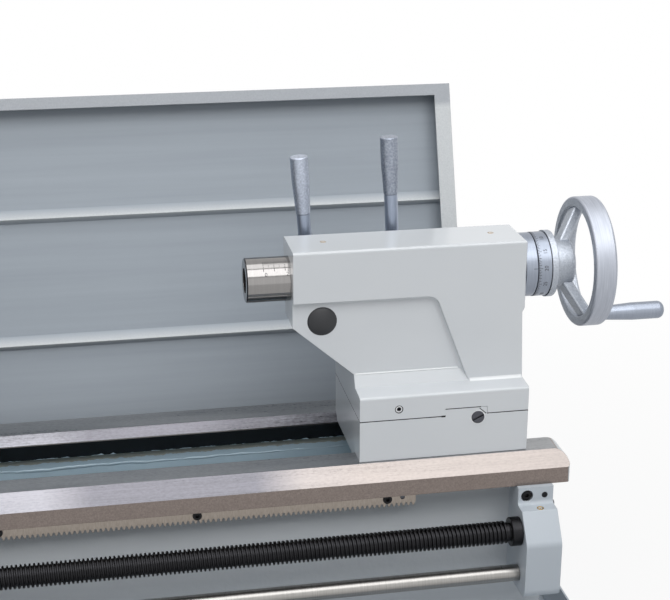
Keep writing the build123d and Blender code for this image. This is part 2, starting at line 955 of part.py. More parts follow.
def make_spindle():
    left = head_left - spindle_tail
    rear_shoulder = head_left + rear_bearing_width + free_gap
    front_shoulder = head_right - front_bearing_width - free_gap
    spindle = turned(
        (left, spindle_bore),
        (left, tail_journal),
        (head_left - free_gap, tail_journal),
        (head_left - free_gap, rear_journal),
        (rear_shoulder, rear_journal),
        (rear_shoulder, spindle_body),
        (front_shoulder, spindle_body),
        (front_shoulder, front_journal),
        (-nose_flange, front_journal),
        (-nose_flange, nose_radius, chuck_chamfer),
        (0, nose_radius),
        (0, spindle_bore),
    )
    nodes["spindle"] = Pos(0, 0, axis_z) * spindle


def make_chuck():
    """Three-jaw chuck: a slotted body, the scroll inside it, and jaws with stepped tops."""
    body = turned(
        (0, chuck_bore),
        (0, chuck_radius, chuck_chamfer),
        (chuck_length, chuck_radius, chuck_chamfer),
        (chuck_length, chuck_bore),
    )
    scroll_front = scroll_back + scroll_width
    cavity_front = scroll_front + free_gap
    body -= turned(
        (scroll_back, scroll_inner),
        (scroll_back, scroll_outer),
        (cavity_front, scroll_outer),
        (cavity_front, scroll_inner),
    )
    scroll = turned(
        (scroll_back + free_gap, scroll_inner + running_gap),
        (scroll_back + free_gap, scroll_outer - free_gap),
        (scroll_front, scroll_outer - free_gap),
        (scroll_front, scroll_inner + running_gap),
    )
    foot_top = cavity_front + jaw_foot_height
    half, foot_half = jaw_width / 2, jaw_foot_width / 2
    jaw_foot = cavity_front + free_gap
    corners = [(jaw_foot, jaw_inner), (jaw_foot, jaw_outer)]
    for step in range(jaw_step_count):
        front = chuck_length + (step + 1) * jaw_step
        corners.append((front, jaw_outer - step * jaw_step_run))
        corners.append((front, max(jaw_inner, jaw_outer - (step + 1) * jaw_step_run)))
    steps = outline(*corners)
    jaw = along_y(steps, sliding_gap - half, half - sliding_gap)
    jaw += block(
        jaw_foot,
        foot_top - sliding_gap,
        sliding_gap - foot_half,
        foot_half - sliding_gap,
        jaw_inner,
        jaw_outer,
    )
    slot = block(cavity_front, chuck_length, -half, half, 0, chuck_radius)
    slot += block(cavity_front, foot_top, -foot_half, foot_half, 0, chuck_radius)
    key_hole = block(
        scroll_back + (scroll_width - chuck_key_width) / 2,
        scroll_back + (scroll_width + chuck_key_width) / 2,
        -chuck_key_width / 2,
        chuck_key_width / 2,
        chuck_radius - chuck_key_depth,
        chuck_radius,
    )
    for number in range(jaw_count):
        turn = Rot(360 / jaw_count * number, 0, 0)
        body -= turn * slot
        body -= turn * Rot(180 / jaw_count, 0, 0) * key_hole
        nodes[f"chuck_jaw_{number + 1}"] = Pos(0, 0, axis_z) * turn * jaw
    nodes["chuck_body"] = Pos(0, 0, axis_z) * body
    nodes["chuck_scroll"] = Pos(0, 0, axis_z) * scroll


# Drive and change gears at the left end
def idler_place():
    """The idler's tooth count, axis (y, z) and the directions of its two meshes."""
    first = gear_module * spindle_gear_teeth / 2
    last = gear_module * leadscrew_gear_teeth / 2
    drop_y = leadscrew_y
    drop_z = leadscrew_z - axis_z
    span = hypot(drop_y, drop_z)
    teeth = int((span - first - last) / gear_module) + idler_spare_teeth
    idler = gear_module * teeth / 2
    near, far = first + idler, last + idler
    along = (near**2 - far**2 + span**2) / 2 / span
    aside = sqrt(near**2 - along**2)
    y = (drop_y * along - drop_z * aside) / span
    z = axis_z + (drop_z * along + drop_y * aside) / span
    to_first = atan2(axis_z - z, -y)
    to_last = atan2(leadscrew_z - z, leadscrew_y - y)
    return teeth, y, z, to_first, to_last


def make_change_gears():
    teeth, y, z, to_first, to_last = idler_place()
    right = head_left - gear_near
    left = right - gear_width
    idler_phase = to_first + pi / teeth
    gear = gear_face(gear_module, spindle_gear_teeth, to_first + pi)
    gear -= Circle(tail_journal + seat_gap)
    nodes["spindle_gear"] = Pos(0, 0, axis_z) * along_x(gear, left, right)

    gear = gear_face(gear_module, teeth, idler_phase) - Circle(idler_stub + running_gap)
    pitch_radius = gear_module * teeth / 2
    windows = PolarLocations(pitch_radius / 2, idler_window_count)
    gear -= [place * Circle(idler_window) for place in windows]
    nodes["idler_gear"] = Pos(0, y, z) * along_x(gear, left, right)

    past_tooth = (idler_phase - to_last) % (2 * pi / teeth)
    lag = past_tooth * teeth / leadscrew_gear_teeth
    phase = to_last + pi - lag + pi / leadscrew_gear_teeth
    gear = gear_face(gear_module, leadscrew_gear_teeth, phase)
    gear -= Circle(leadscrew_journal + seat_gap)
    nodes["leadscrew_gear"] = Pos(0, leadscrew_y, leadscrew_z) * along_x(gear, left, right)

    pivot = Pos(leadscrew_y, leadscrew_z) * Circle(leadscrew_journal + arm_margin)
    end = Pos(y, z) * Circle(idler_stub + arm_margin / 2)
    arm_face = make_hull(pivot.edges() + end.edges())
    arm_face -= Pos(leadscrew_y, leadscrew_z) * Circle(leadscrew_journal + free_gap)
    arm = along_x(arm_face, head_left - arm_thickness, head_left)
    arm += rod_x(idler_stub, left, head_left - arm_thickness, y, z)
    nodes["gear_arm"] = arm


def grooved_pulley(radius, bore):
    """Pulley from x = 0 to -pulley_width with one belt groove."""
    left, right = -pulley_width, 0
    groove_left = (left + right - belt_width) / 2 - sliding_gap
    groove_right = (left + right + belt_width) / 2 + sliding_gap
    return turned(
        (left, bore),
        (left, radius),
        (groove_left, radius),
        (groove_left, radius - belt_depth),
        (groove_right, radius - belt_depth),
        (groove_right, radius),
        (right, radius),
        (right, bore),
    )


def make_drive():
    near = head_left - pulley_near
    pulley = grooved_pulley(spindle_pulley_radius, tail_journal + seat_gap)
    nodes["spindle_pulley"] = Pos(near, 0, axis_z) * pulley
    pulley = grooved_pulley(motor_pulley_radius, 0)
    shaft_start = near - pulley_width
    pulley += rod_x(motor_shaft, -pulley_width, head_left + plate_thickness - near, 0, 0)
    nodes["motor_pulley"] = Pos(near, motor_y, motor_height) * pulley

    large = spindle_pulley_radius - belt_depth + free_gap
    small = motor_pulley_radius - belt_depth + free_gap
    loops = []
    for thickness in (0, belt_depth):
        top = Pos(0, axis_z) * Circle(large + thickness)
        low = Pos(motor_y, motor_height) * Circle(small + thickness)
        loops.append(make_hull(top.edges() + low.edges()))
    belt_left = shaft_start + (pulley_width - belt_width) / 2
    nodes["drive_belt"] = along_x(loops[1] - loops[0], belt_left, belt_left + belt_width)

    plate_right = head_left + plate_thickness
    motor = rod_x(motor_radius, plate_right, plate_right + motor_length, 0, 0)
    fin_start = plate_right + motor_fin_inset
    fin_end = plate_right + motor_length - motor_fin_inset
    fin = rod_x(motor_radius + motor_fin, fin_start, fin_end, 0, 0)
    spread = 360 / motor_fin_count
    bar = block(
        plate_right,
        plate_right + motor_length,
        0,
        motor_radius + 2 * motor_fin,
        -motor_fin_width / 2,
        motor_fin_width / 2,
    )
    bars = [Rot(spread * index, 0, 0) * bar for index in range(motor_fin_count)]
    motor += fin & (Part() + bars)
    box_left = plate_right + (motor_length - motor_box) / 2
    motor += block(
        box_left,
        box_left + motor_box,
        -motor_box / 2,
        motor_box / 2,
        motor_radius - motor_fin,
        motor_radius + motor_box_height,
    )
    motor -= rod_x(motor_shaft + running_gap, plate_right, plate_right + 2 * motor_shaft, 0, 0)
    nodes["drive_motor"] = Pos(0, motor_y, motor_height) * motor


def make_motor_plate():
    """End plate that carries the motor and the hinge pins of the end cover."""
    right = head_left + plate_thickness
    inner = head_back + free_gap
    edge = motor_y + plate_margin
    foot_top = way_height - plate_foot_drop
    top = axis_z + plate_rise
    bottom = motor_height - plate_margin
    face = outline(
        (rear_face_y, way_under_z),
        (rear_face_y, foot_top),
        (inner, foot_top),
        (inner, top),
        (edge, top, plate_round),
        (edge, bottom, plate_round),
        (inner, bottom, plate_round),
        (inner, way_under_z),
    )
    plate = along_x(face, head_left, right)
    plate += block(
        head_left,
        head_left + plate_foot_length,
        rear_face_y,
        rear_face_y + plate_foot,
        way_under_z,
        foot_top,
    )
    plate -= rod_x(motor_shaft + free_gap, head_left, right, motor_y, motor_height)
    half = hinge_length / 2
    for level in hinge_levels:
        plate += rod_z(hinge_knuckle, level - half, level, hinge_x, hinge_y)
        plate += block(
            hinge_x - hinge_leaf / 2, hinge_x + hinge_leaf / 2, edge, hinge_y, level - half, level
        )
        plate += rod_z(hinge_pin, level, level + half, hinge_x, hinge_y)
    nodes["motor_plate"] = plate


def make_end_cover():
    right = head_left - free_gap
    left = right - cover_depth
    front, back = -cover_front_reach, cover_back_y
    foot, top = cover_foot, axis_z + cover_top_rise

    def section(inset):
        radius = cover_round - inset
        return outline(
            (front + inset, foot + inset, radius),
            (front + inset, top - inset, radius),
            (back - inset, top - inset, radius),
            (back - inset, foot + inset, radius),
        )

    cover = along_x(section(0), left, right)
    cover -= along_x(section(cover_sheet), left + cover_sheet, right)
    cover -= rod_x(bar_hole, left, left + cover_sheet, 0, axis_z)
    for level in hinge_levels:
        low = level + sliding_gap
        high = level + hinge_length / 2
        knuckle = rod_z(hinge_knuckle, low, high, hinge_x, hinge_y)
        knuckle += block(hinge_x - hinge_strap, hinge_x, back, back + hinge_leaf, low, high)
        cover += knuckle - rod_z(hinge_pin + running_gap, low, high, hinge_x, hinge_y)
    nodes["end_cover"] = cover


# Feed gearbox and controls
def feed_knob_place():
    return head_left + knob_left, way_height - knob_drop


def make_gearbox():
    front = front_face_y - box_front
    top = way_height - box_top_drop
    bottom = top - box_height
    face = outline(
        (front, bottom, box_round),
        (front, top, box_round),
        (front_face_y, top),
        (front_face_y, bottom),
    )
    box = along_x(face, head_left, box_right)
    box -= block(
        head_left + box_wall,
        box_right - box_wall,
        front + box_wall,
        front_face_y,
        bottom + box_wall,
        top - box_wall,
    )
    box -= rod_x(leadscrew_journal + running_gap, head_left, box_right, leadscrew_y, leadscrew_z)
    seat_start = box_right - shaft_seat
    box -= rod_x(feed_rod_journal + running_gap, seat_start, box_right, leadscrew_y, feed_rod_z)
    x, z = feed_knob_place()
    box -= rod_y(lever_shaft + running_gap, front, front + lever_shaft_depth, x, z)
    nodes["feed_gearbox"] = box

    knob = turned(
        (free_gap - lever_shaft_depth, 0),
        (free_gap - lever_shaft_depth, lever_shaft),
        (sliding_gap, lever_shaft),
        (sliding_gap, knob_radius),
        (knob_length, knob_radius, lever_round),
        (knob_length, 0),
    )
    nodes["feed_knob"] = Pos(x, front, z) * facing_front(knob)


def hand_lever():
    """Lever that hangs from a hub on a front face; its shaft goes into the face behind it."""
    lever = turned(
        (free_gap - lever_shaft_depth, 0),
        (free_gap - lever_shaft_depth, lever_shaft),
        (sliding_gap, lever_shaft),
        (sliding_gap, lever_hub),
        (lever_hub_length, lever_hub, lever_round),
        (lever_hub_length, 0),
    )
    lever += rod_z(lever_rod, -lever_length, 0, lever_rod_stand, 0)
    lever += Pos(lever_rod_stand, 0, -lever_length) * Sphere(lever_knob)
    return facing_front(lever)


def make_controls():
    x, z = speed_lever_place()
    nodes["speed_lever"] = Pos(x, -head_front, z) * hand_lever()
    (start_x, z), (stop_x, z) = button_places()
    bezel_front = -head_front - button_bezel_height
    start = turned(
        (-button_length, 0),
        (-button_length, button_radius),
        (button_proud, button_radius, button_round),
        (button_proud, 0),
    )
    nodes["start_button"] = Pos(start_x, bezel_front, z) * facing_front(start)
    stop = turned(
        (-button_length, 0),
        (-button_length, button_radius),
        (stop_gap, button_radius),
        (stop_gap, stop_radius),
        (stop_gap + stop_thickness, stop_radius, button_round),
        (stop_gap + stop_thickness, 0),
    )
    nodes["stop_button"] = Pos(stop_x, bezel_front, z) * facing_front(stop)


# Carriage
def dovetail(foot, flare, rise, grow):
    """(X, Z) face of a male dovetail that stands on z = 0, widened all round by grow."""
    half = foot / 2 + grow
    return outline((-half, 0), (-half - flare, rise + grow), (half + flare, rise + grow), (half, 0))


def saddle_face(top):
    """(Y, Z) section of the saddle over the ways, up to the given level."""
    under = way_height + sliding_gap
    front = front_face_y - sliding_gap
    back = rear_face_y + sliding_gap
    back_edge = rear_face_y + saddle_back_reach
    keep_top = way_under_z - sliding_gap
    keep_foot = way_height - keep_drop
    wing_under = way_height - saddle_front_drop
    return outline(
        (saddle_front_y, wing_under),
        (saddle_front_y, top),
        (back_edge, top),
        (back_edge, keep_foot),
        (rear_face_y - keep_lip, keep_foot),
        (rear_face_y - keep_lip, keep_top),
        (back, keep_top),
        (back, under),
        (front_ridge_y - sliding_gap, under),
        (front, way_height - front_bevel_drop),
        (front, wing_under),
    )


def make_saddle():
    half = saddle_length / 2
    bridge = saddle_bridge / 2
    back_edge = rear_face_y + saddle_back_reach
    saddle = along_x(saddle_face(way_height + saddle_wing_rise), -half, half)
    for start, end in ((-half, -bridge), (bridge, half)):
        saddle -= block(start, end, saddle_window_front, saddle_window_back, 0, saddle_top)
    saddle += along_x(saddle_face(saddle_top), -bridge, bridge)
    guide = dovetail(dovetail_foot, dovetail_flare, dovetail_rise, 0)
    saddle += Pos(0, 0, saddle_top) * along_y(guide, saddle_front_y, back_edge)
    channel_top = saddle_top + dovetail_rise
    saddle -= block(
        -cross_channel,
        cross_channel,
        saddle_front_y,
        back_edge,
        cross_screw_z - cross_channel,
        channel_top,
    )
    bracket_half = cross_bracket / 2
    bracket_front = saddle_front_y - cross_bracket_length
    bracket_top = saddle_top - sliding_gap
    saddle += block(
        -bracket_half,
        bracket_half,
        bracket_front,
        saddle_front_y,
        bracket_top - cross_bracket_height,
        bracket_top,
    )
    saddle -= rod_y(cross_screw + running_gap, bracket_front, saddle_front_y, 0, cross_screw_z)
    nodes["saddle"] = carriage * saddle


def pinion_place():
    """The pinion's (x, z): under a gap of the rack, as near as it comes to its offset."""
    gap = round((carriage_x + pinion_offset - rack_left) / rack_pitch)
    x = rack_left + gap * rack_pitch
    z = rack_tip_z + rack_module - rack_module * pinion_teeth / 2 - pinion_drop
    return x, z


def carriage_wheel_place():
    return carriage_x + carriage_wheel_offset, way_height - carriage_wheel_drop


def nut_lever_place():
    return carriage_x + nut_lever_offset, way_height - nut_lever_drop


def make_apron():
    left = carriage_x - apron_length / 2
    right = carriage_x + apron_length / 2
    back = front_face_y - apron_gap
    top = way_height - saddle_front_drop
    bottom = top - apron_height
    face = outline(
        (apron_front_y, bottom, apron_round),
        (apron_front_y, top),
        (back, top),
        (back, bottom),
    )
    apron = along_x(face, left, right)
    apron -= block(
        left + apron_wall,
        right - apron_wall,
        apron_front_y + apron_wall,
        back,
        bottom + apron_wall,
        way_height - apron_hollow_top,
    )
    apron -= rod_x(leadscrew_radius + free_gap, left, right, leadscrew_y, leadscrew_z)
    apron -= rod_x(feed_rod_radius + free_gap, left, right, leadscrew_y, feed_rod_z)
    x, z = pinion_place()
    stub_front = back - pinion_shaft_length
    apron -= rod_y(pinion_shaft + running_gap, stub_front, back, x, z)
    x, z = carriage_wheel_place()
    apron -= rod_y(wheel_shaft + running_gap, apron_front_y, apron_front_y + wheel_shaft_depth, x, z)
    x, z = nut_lever_place()
    apron -= rod_y(lever_shaft + running_gap, apron_front_y, apron_front_y + lever_shaft_depth, x, z)
    nodes["apron"] = apron

    x, z = pinion_place()
    gear_back = front_web_out - (rack_width - pinion_width) / 2
    gear = gear_face(rack_module, pinion_teeth, pi / 2)
    pinion = Pos(x, 0, z) * along_y(gear, gear_back - pinion_width, gear_back)
    pinion += rod_y(pinion_shaft, stub_front + free_gap, gear_back - pinion_width, x, z)
    nodes["rack_pinion"] = pinion


def dished_wheel(radius, rim, hub, stand):
    """Solid dished handwheel with its grip, from a face at x = 0 out to +X."""
    web_x = stand - rim
    hub_front = web_x + wheel_web + wheel_hub_proud
    wheel = turned(
        (sliding_gap, 0),
        (sliding_gap, hub),
        (web_x, hub),
        (web_x + wheel_web_step, radius - rim),
        (web_x, radius - rim),
        (web_x, radius, wheel_round),
        (stand, radius, wheel_round),
        (stand, radius - rim),
        (stand - wheel_web_step, radius - rim),
        (web_x + wheel_web, hub),
        (hub_front, hub, lever_round),
        (hub_front, 0),
    )
    grip = turned(
        (-grip_neck_length, 0),
        (-grip_neck_length, grip_neck),
        (grip_neck_length, grip_neck),
        (grip_neck_length, grip_radius, grip_round),
        (grip_length, grip_radius, grip_round),
        (grip_length, 0),
    )
    return wheel + Pos(stand, 0, rim / 2 - radius) * grip


def make_carriage_controls():
    wheel = dished_wheel(
        carriage_wheel_radius, carriage_wheel_rim, carriage_wheel_hub, carriage_wheel_stand
    )
    wheel += rod_x(wheel_shaft, free_gap - wheel_shaft_depth, sliding_gap, 0, 0)
    x, z = carriage_wheel_place()
    nodes["carriage_handwheel"] = Pos(x, apron_front_y, z) * facing_front(wheel)
    x, z = nut_lever_place()
    nodes["half_nut_lever"] = Pos(x, apron_front_y, z) * hand_lever()


def make_cross_slide():
    half = cross_width / 2
    low = saddle_top + sliding_gap
    slide = block(-half, half, -cross_front, cross_back, low, cross_top)
    channel = dovetail(dovetail_foot, dovetail_flare, dovetail_rise, sliding_gap)
    slide -= Pos(0, 0, saddle_top) * along_y(channel, -cross_front, cross_back)
    nut_half = cross_channel - free_gap
    nut_front = cross_nut_y - cross_nut_length / 2
    nut_back = cross_nut_y + cross_nut_length / 2
    nut_foot = cross_screw_z - nut_half
    nut_top = saddle_top + dovetail_rise + sliding_gap
    slide += block(-nut_half, nut_half, nut_front, nut_back, nut_foot, nut_top)
    slide -= rod_y(cross_screw + running_gap, nut_front, nut_back, 0, cross_screw_z)
    slide = carriage * slide
    slide -= swivel * rod_z(swivel_pin + running_gap, cross_top - swivel_pin_depth, cross_top, 0, 0)
    nodes["cross_slide"] = slide

    face_y = saddle_front_y - cross_bracket_length
    wheel = dished_wheel(cross_wheel_radius, cross_wheel_rim, cross_wheel_hub, cross_wheel_stand)
    wheel = Pos(cross_dial_length - sliding_gap, 0, 0) * wheel
    wheel += rod_x(cross_dial, sliding_gap, cross_dial_length, 0, 0)
    wheel += rod_x(cross_screw, face_y - cross_screw_back, sliding_gap, 0, 0)
    nodes["cross_handwheel"] = Pos(carriage_x, face_y, cross_screw_z) * facing_front(wheel)


def make_top_slide():
    base = rod_z(swivel_radius, cross_top, swivel_top, 0, 0)
    guide_front = top_length / 2 - top_travel - 2 * free_gap
    guide = dovetail(guide_foot, guide_flare, guide_rise, 0)
    base += Pos(0, 0, swivel_top) * along_y(guide, -guide_front, guide_back)
    pin_foot = cross_top - swivel_pin_depth + free_gap
    base += rod_z(swivel_pin, pin_foot, cross_top, 0, 0)
    nodes["swivel_base"] = compound * base

    half, reach = top_width / 2, top_length / 2
    slide = block(-half, half, -reach, reach, swivel_top + sliding_gap, top_slide_top)
    channel = dovetail(guide_foot, guide_flare, guide_rise, sliding_gap)
    slide -= Pos(0, 0, swivel_top) * along_y(channel, -reach, reach)
    stud_top = post_top + post_handle_height - post_stud
    slide += rod_z(post_stud, top_slide_top, stud_top, 0, 0)
    screw_z = (swivel_top + guide_rise + top_slide_top) / 2
    slide -= rod_y(top_screw + running_gap, -reach, top_screw_length - reach, 0, screw_z)
    nodes["top_slide"] = compound * slide

    hub_start = top_dial_length
    hub_end = hub_start + crank_hub_length
    crank = rod_x(top_screw, free_gap - top_screw_length, sliding_gap, 0, 0)
    crank += rod_x(top_dial, sliding_gap, top_dial_length, 0, 0)
    crank += rod_x(crank_hub, hub_start, hub_end, 0, 0)
    arm_x = (hub_start + hub_end) / 2
    crank += rod_z(crank_rod, -crank_arm, crank_arm, arm_x, 0)
    for side in (-crank_arm, crank_arm):
        crank += Pos(arm_x, 0, side) * Sphere(crank_ball)
    grip = turned(
        (0, 0),
        (0, crank_rod),
        (crank_hub_length, crank_rod),
        (crank_hub_length, crank_grip, crank_round),
        (crank_grip_length, crank_grip, crank_round),
        (crank_grip_length, 0),
    )
    crank += Pos(arm_x, 0, -crank_arm) * grip
    nodes["top_slide_crank"] = compound * Pos(0, -reach, screw_z) * facing_front(crank)


def make_tool_post():
    half, core = post_size / 2, post_core / 2
    low = top_slide_top + sliding_gap
    slot_foot = top_slide_top + post_base
    slot_top = slot_foot + post_slot
    base = block(-half, half, -half, half, low, slot_foot)
    cap = block(-half, half, -half, half, slot_top, post_top)
    base = chamfer(base.edges().filter_by(Axis.Z), post_chamfer)
    cap = chamfer(cap.edges().filter_by(Axis.Z), post_chamfer)
    post = base + block(-core, core, -core, core, slot_foot, slot_top) + cap
    post -= rod_z(post_stud + running_gap, low, post_top, 0, 0)
    nodes["tool_post"] = swivel * post

    hub_foot = post_top + sliding_gap
    hub_top = post_top + post_handle_height
    lever = rod_z(post_handle_hub, hub_foot, hub_top, 0, 0)
    rod = rod_x(post_handle_rod, 0, post_handle_reach, 0, 0)
    rod += Pos(post_handle_reach, 0, 0) * Sphere(post_handle_knob)
    hub_middle = (hub_foot + hub_top) / 2
    lever += Pos(0, 0, hub_middle) * Rot(0, 0, -90) * Rot(0, -post_handle_lift, 0) * rod
    bore_top = hub_top - post_stud + free_gap
    lever -= rod_z(post_stud + running_gap, hub_foot, bore_top, 0, 0)
    nodes["tool_post_lever"] = swivel * lever


# Tailstock
def pocket_edges(body, y):
    """Edges where the raised part meets the sunk flank at the given Y."""
    flank = body.edges().filter_by_position(Axis.Y, y - seat_gap, y + seat_gap)
    barrel_line = -barrel_drop - seat_gap
    rib_line = foot_left + pocket_round
    return flank.filter_by(lambda edge: edge.center().Z > barrel_line or edge.center().X > rib_line)


def front_edges(body, y):
    """Sharp edges along the underside of the barrel and the rib, on the raised face at the given Y."""
    face = body.edges().filter_by_position(Axis.Y, y - seat_gap, y + seat_gap)
    low = -foot_shoulder_drop + seat_gap
    high = -barrel_drop + seat_gap
    return face.filter_by(lambda edge: low < edge.center().Z < high and edge.center().X < rib_foot_x)


def make_tailstock_body():
    core_half = barrel_half - pocket_depth
    shoulder = -foot_shoulder_drop
    foot_top = shoulder + foot_rise
    ramp_top = foot_top + pocket_ramp
    silhouette = (
        (quill_out, barrel_rise),
        (barrel_right, barrel_rise),
        (barrel_right, -column_step_drop),
        (column_right, -column_step_drop - column_step_slope),
        (foot_right, shoulder),
    )
    core = outline(*silhouette, (foot_left, shoulder), (foot_left, ramp_top), (quill_out, -chin_drop))
    raised = outline(
        *silhouette,
        (rib_foot_x, shoulder),
        (rib_top_x, -barrel_drop, pocket_round),
        (quill_out, -barrel_drop),
    )
    body = along_y(core, -core_half, core_half) + along_y(raised, -barrel_half, barrel_half)
    top_edges = body.edges().filter_by_position(Axis.Z, barrel_rise - seat_gap, barrel_rise + seat_gap)
    body = fillet(top_edges.filter_by(lambda edge: edge.center().X > quill_out + body_round), body_round)
    for side in (-1, 1):
        body = fillet(pocket_edges(body, side * core_half), pocket_fillet)
        body = fillet(front_edges(body, side * barrel_half), edge_round)
    uprights = body.edges().filter_by(Axis.Z).filter_by_position(
        Axis.X, barrel_right - seat_gap, barrel_right + seat_gap
    )
    body = fillet(uprights, edge_round)
    foot_face = outline(
        (-core_half, ramp_top),
        (-barrel_half, foot_top),
        (-tail_front_reach, shoulder, body_round),
        (-tail_front_reach, split_z),
        (tail_back_reach, split_z),
        (tail_back_reach, shoulder, body_round),
        (barrel_half, foot_top),
        (core_half, ramp_top),
    )
    foot = along_x(foot_face, foot_left, foot_right)
    body += chamfer(foot.faces().sort_by(Axis.Z)[0].edges(), split_groove)
    body -= block(
        key_left - split_seam,
        key_right + split_seam,
        -tail_front_reach,
        tail_back_reach,
        split_z,
        split_z + key_height + split_seam,
    )

    quill_bore_end = quill_length + quill_out + free_gap
    body -= rod_x(quill_radius + running_gap, quill_out, quill_bore_end, 0, 0)
    body -= rod_x(screw_radius + running_gap, quill_bore_end, barrel_right, 0, 0)
    body -= rod_y(lock_radius + running_gap, -core_half, core_half, plug_x, -plug_drop)
    lock_foot = barrel_half - lock_shaft_depth
    body -= rod_y(lock_radius + running_gap, lock_foot, barrel_half, bed_lever_x, -bed_lever_drop)
    bolt_top = split_z + clamp_bolt_depth
    body -= rod_z(clamp_bolt + seat_gap, split_z, bolt_top, bed_lever_x, clamp_y)
    set_end = set_screw_sink + set_screw_length - tail_front_reach
    body -= rod_y(set_screw_radius + seat_gap, -tail_front_reach, set_end, set_screw_x, -set_screw_drop)
    nodes["tailstock_body"] = quill_tip * body


def offset_screw_seats():
    """Outer face and inner end of the set-over screws, in front and behind."""
    return (
        (-tail_front_reach, offset_screw_length - tail_front_reach),
        (tail_back_reach, tail_back_reach - offset_screw_length),
    )


def make_tailstock_base():
    under = sliding_gap - centre_height
    tongue_foot = -centre_height - tongue
    tongue_front = front_inner_y + sliding_gap
    bevel_y = rear_ridge_y - 2 * sliding_gap
    face = outline(
        (-tail_front_reach, split_z),
        (-tail_front_reach, under),
        (tongue_front, under),
        (tongue_front, tongue_foot),
        (bevel_y - tongue, tongue_foot),
        (bevel_y + sliding_gap, under),
        (tail_back_reach, under),
        (tail_back_reach, split_z),
    )
    base = along_x(face, foot_left, foot_right)
    base = chamfer(base.faces().sort_by(Axis.Z)[-1].edges(), split_groove)
    key_foot = split_z - split_groove
    base += block(key_left, key_right, -tail_front_reach, tail_back_reach, key_foot, split_z + key_height)
    base -= rod_z(clamp_bolt + free_gap, tongue_foot, split_z, bed_lever_x, clamp_y)
    for outer, inner in offset_screw_seats():
        low, high = sorted((outer, inner))
        base -= rod_y(
            offset_screw_radius + seat_gap, low, high, offset_screw_x, -offset_screw_drop
        )
    nodes["tailstock_base"] = quill_tip * base

    screws = []
    for outer, inner in offset_screw_seats():
        way_out = 1 if outer > inner else -1
        end = outer + way_out * offset_screw_proud
        slot_floor = end - way_out * offset_slot_depth
        low, high = sorted((inner, end))
        screw = rod_y(offset_screw_radius, low, high, offset_screw_x, -offset_screw_drop)
        low, high = sorted((slot_floor, end))
        screw -= block(
            offset_screw_x - offset_slot / 2,
            offset_screw_x + offset_slot / 2,
            low,
            high,
            -offset_screw_drop - offset_screw_radius,
            -offset_screw_drop + offset_screw_radius,
        )
        screws.append(quill_tip * screw)
    low = set_screw_sink - tail_front_reach
    high = low + set_screw_length
    hexagon = Pos(set_screw_x, -set_screw_drop) * RegularPolygon(screw_socket_radius, 6)
    set_screw = rod_y(set_screw_radius, low, high, set_screw_x, -set_screw_drop)
    set_screw -= along_y(hexagon, low, low + screw_socket_depth)
    screws.append(quill_tip * set_screw)
    nodes["tailstock_screws"] = Compound(screws)


def make_clamp():
    plate_top = lip_under_z - axis_z - sliding_gap
    plate_foot_z = plate_top - clamp_thickness
    half = clamp_length / 2
    plate = block(
        bed_lever_x - half,
        bed_lever_x + half,
        front_web_in + free_gap,
        rear_web_in - free_gap,
        plate_foot_z,
        plate_top,
    )
    plate -= rod_z(clamp_bolt + seat_gap, plate_foot_z, plate_top, bed_lever_x, clamp_y)
    nodes["clamp_plate"] = quill_tip * plate
    bolt_top = split_z + clamp_bolt_depth - free_gap
    bolt = rod_z(clamp_bolt, plate_foot_z, bolt_top, bed_lever_x, clamp_y)
    head = Pos(bed_lever_x, clamp_y) * RegularPolygon(clamp_head, 6)
    bolt += along_z(head, plate_foot_z - clamp_head_height, plate_foot_z)
    nodes["clamp_bolt"] = quill_tip * bolt


def make_quill():
    taper_end = taper_mouth - taper_depth / taper_ratio / 2
    bore = screw_radius + quill_bore_gap
    nut_start = quill_length - nut_length
    quill = turned(
        (0, taper_mouth),
        (0, quill_radius - quill_chamfer),
        (quill_chamfer, quill_radius),
        (quill_length, quill_radius),
        (quill_length, screw_radius + running_gap),
        (nut_start, screw_radius + running_gap),
        (nut_start, bore),
        (taper_depth, bore),
        (taper_depth, taper_end),
    )
    nodes["quill"] = quill_tip * quill


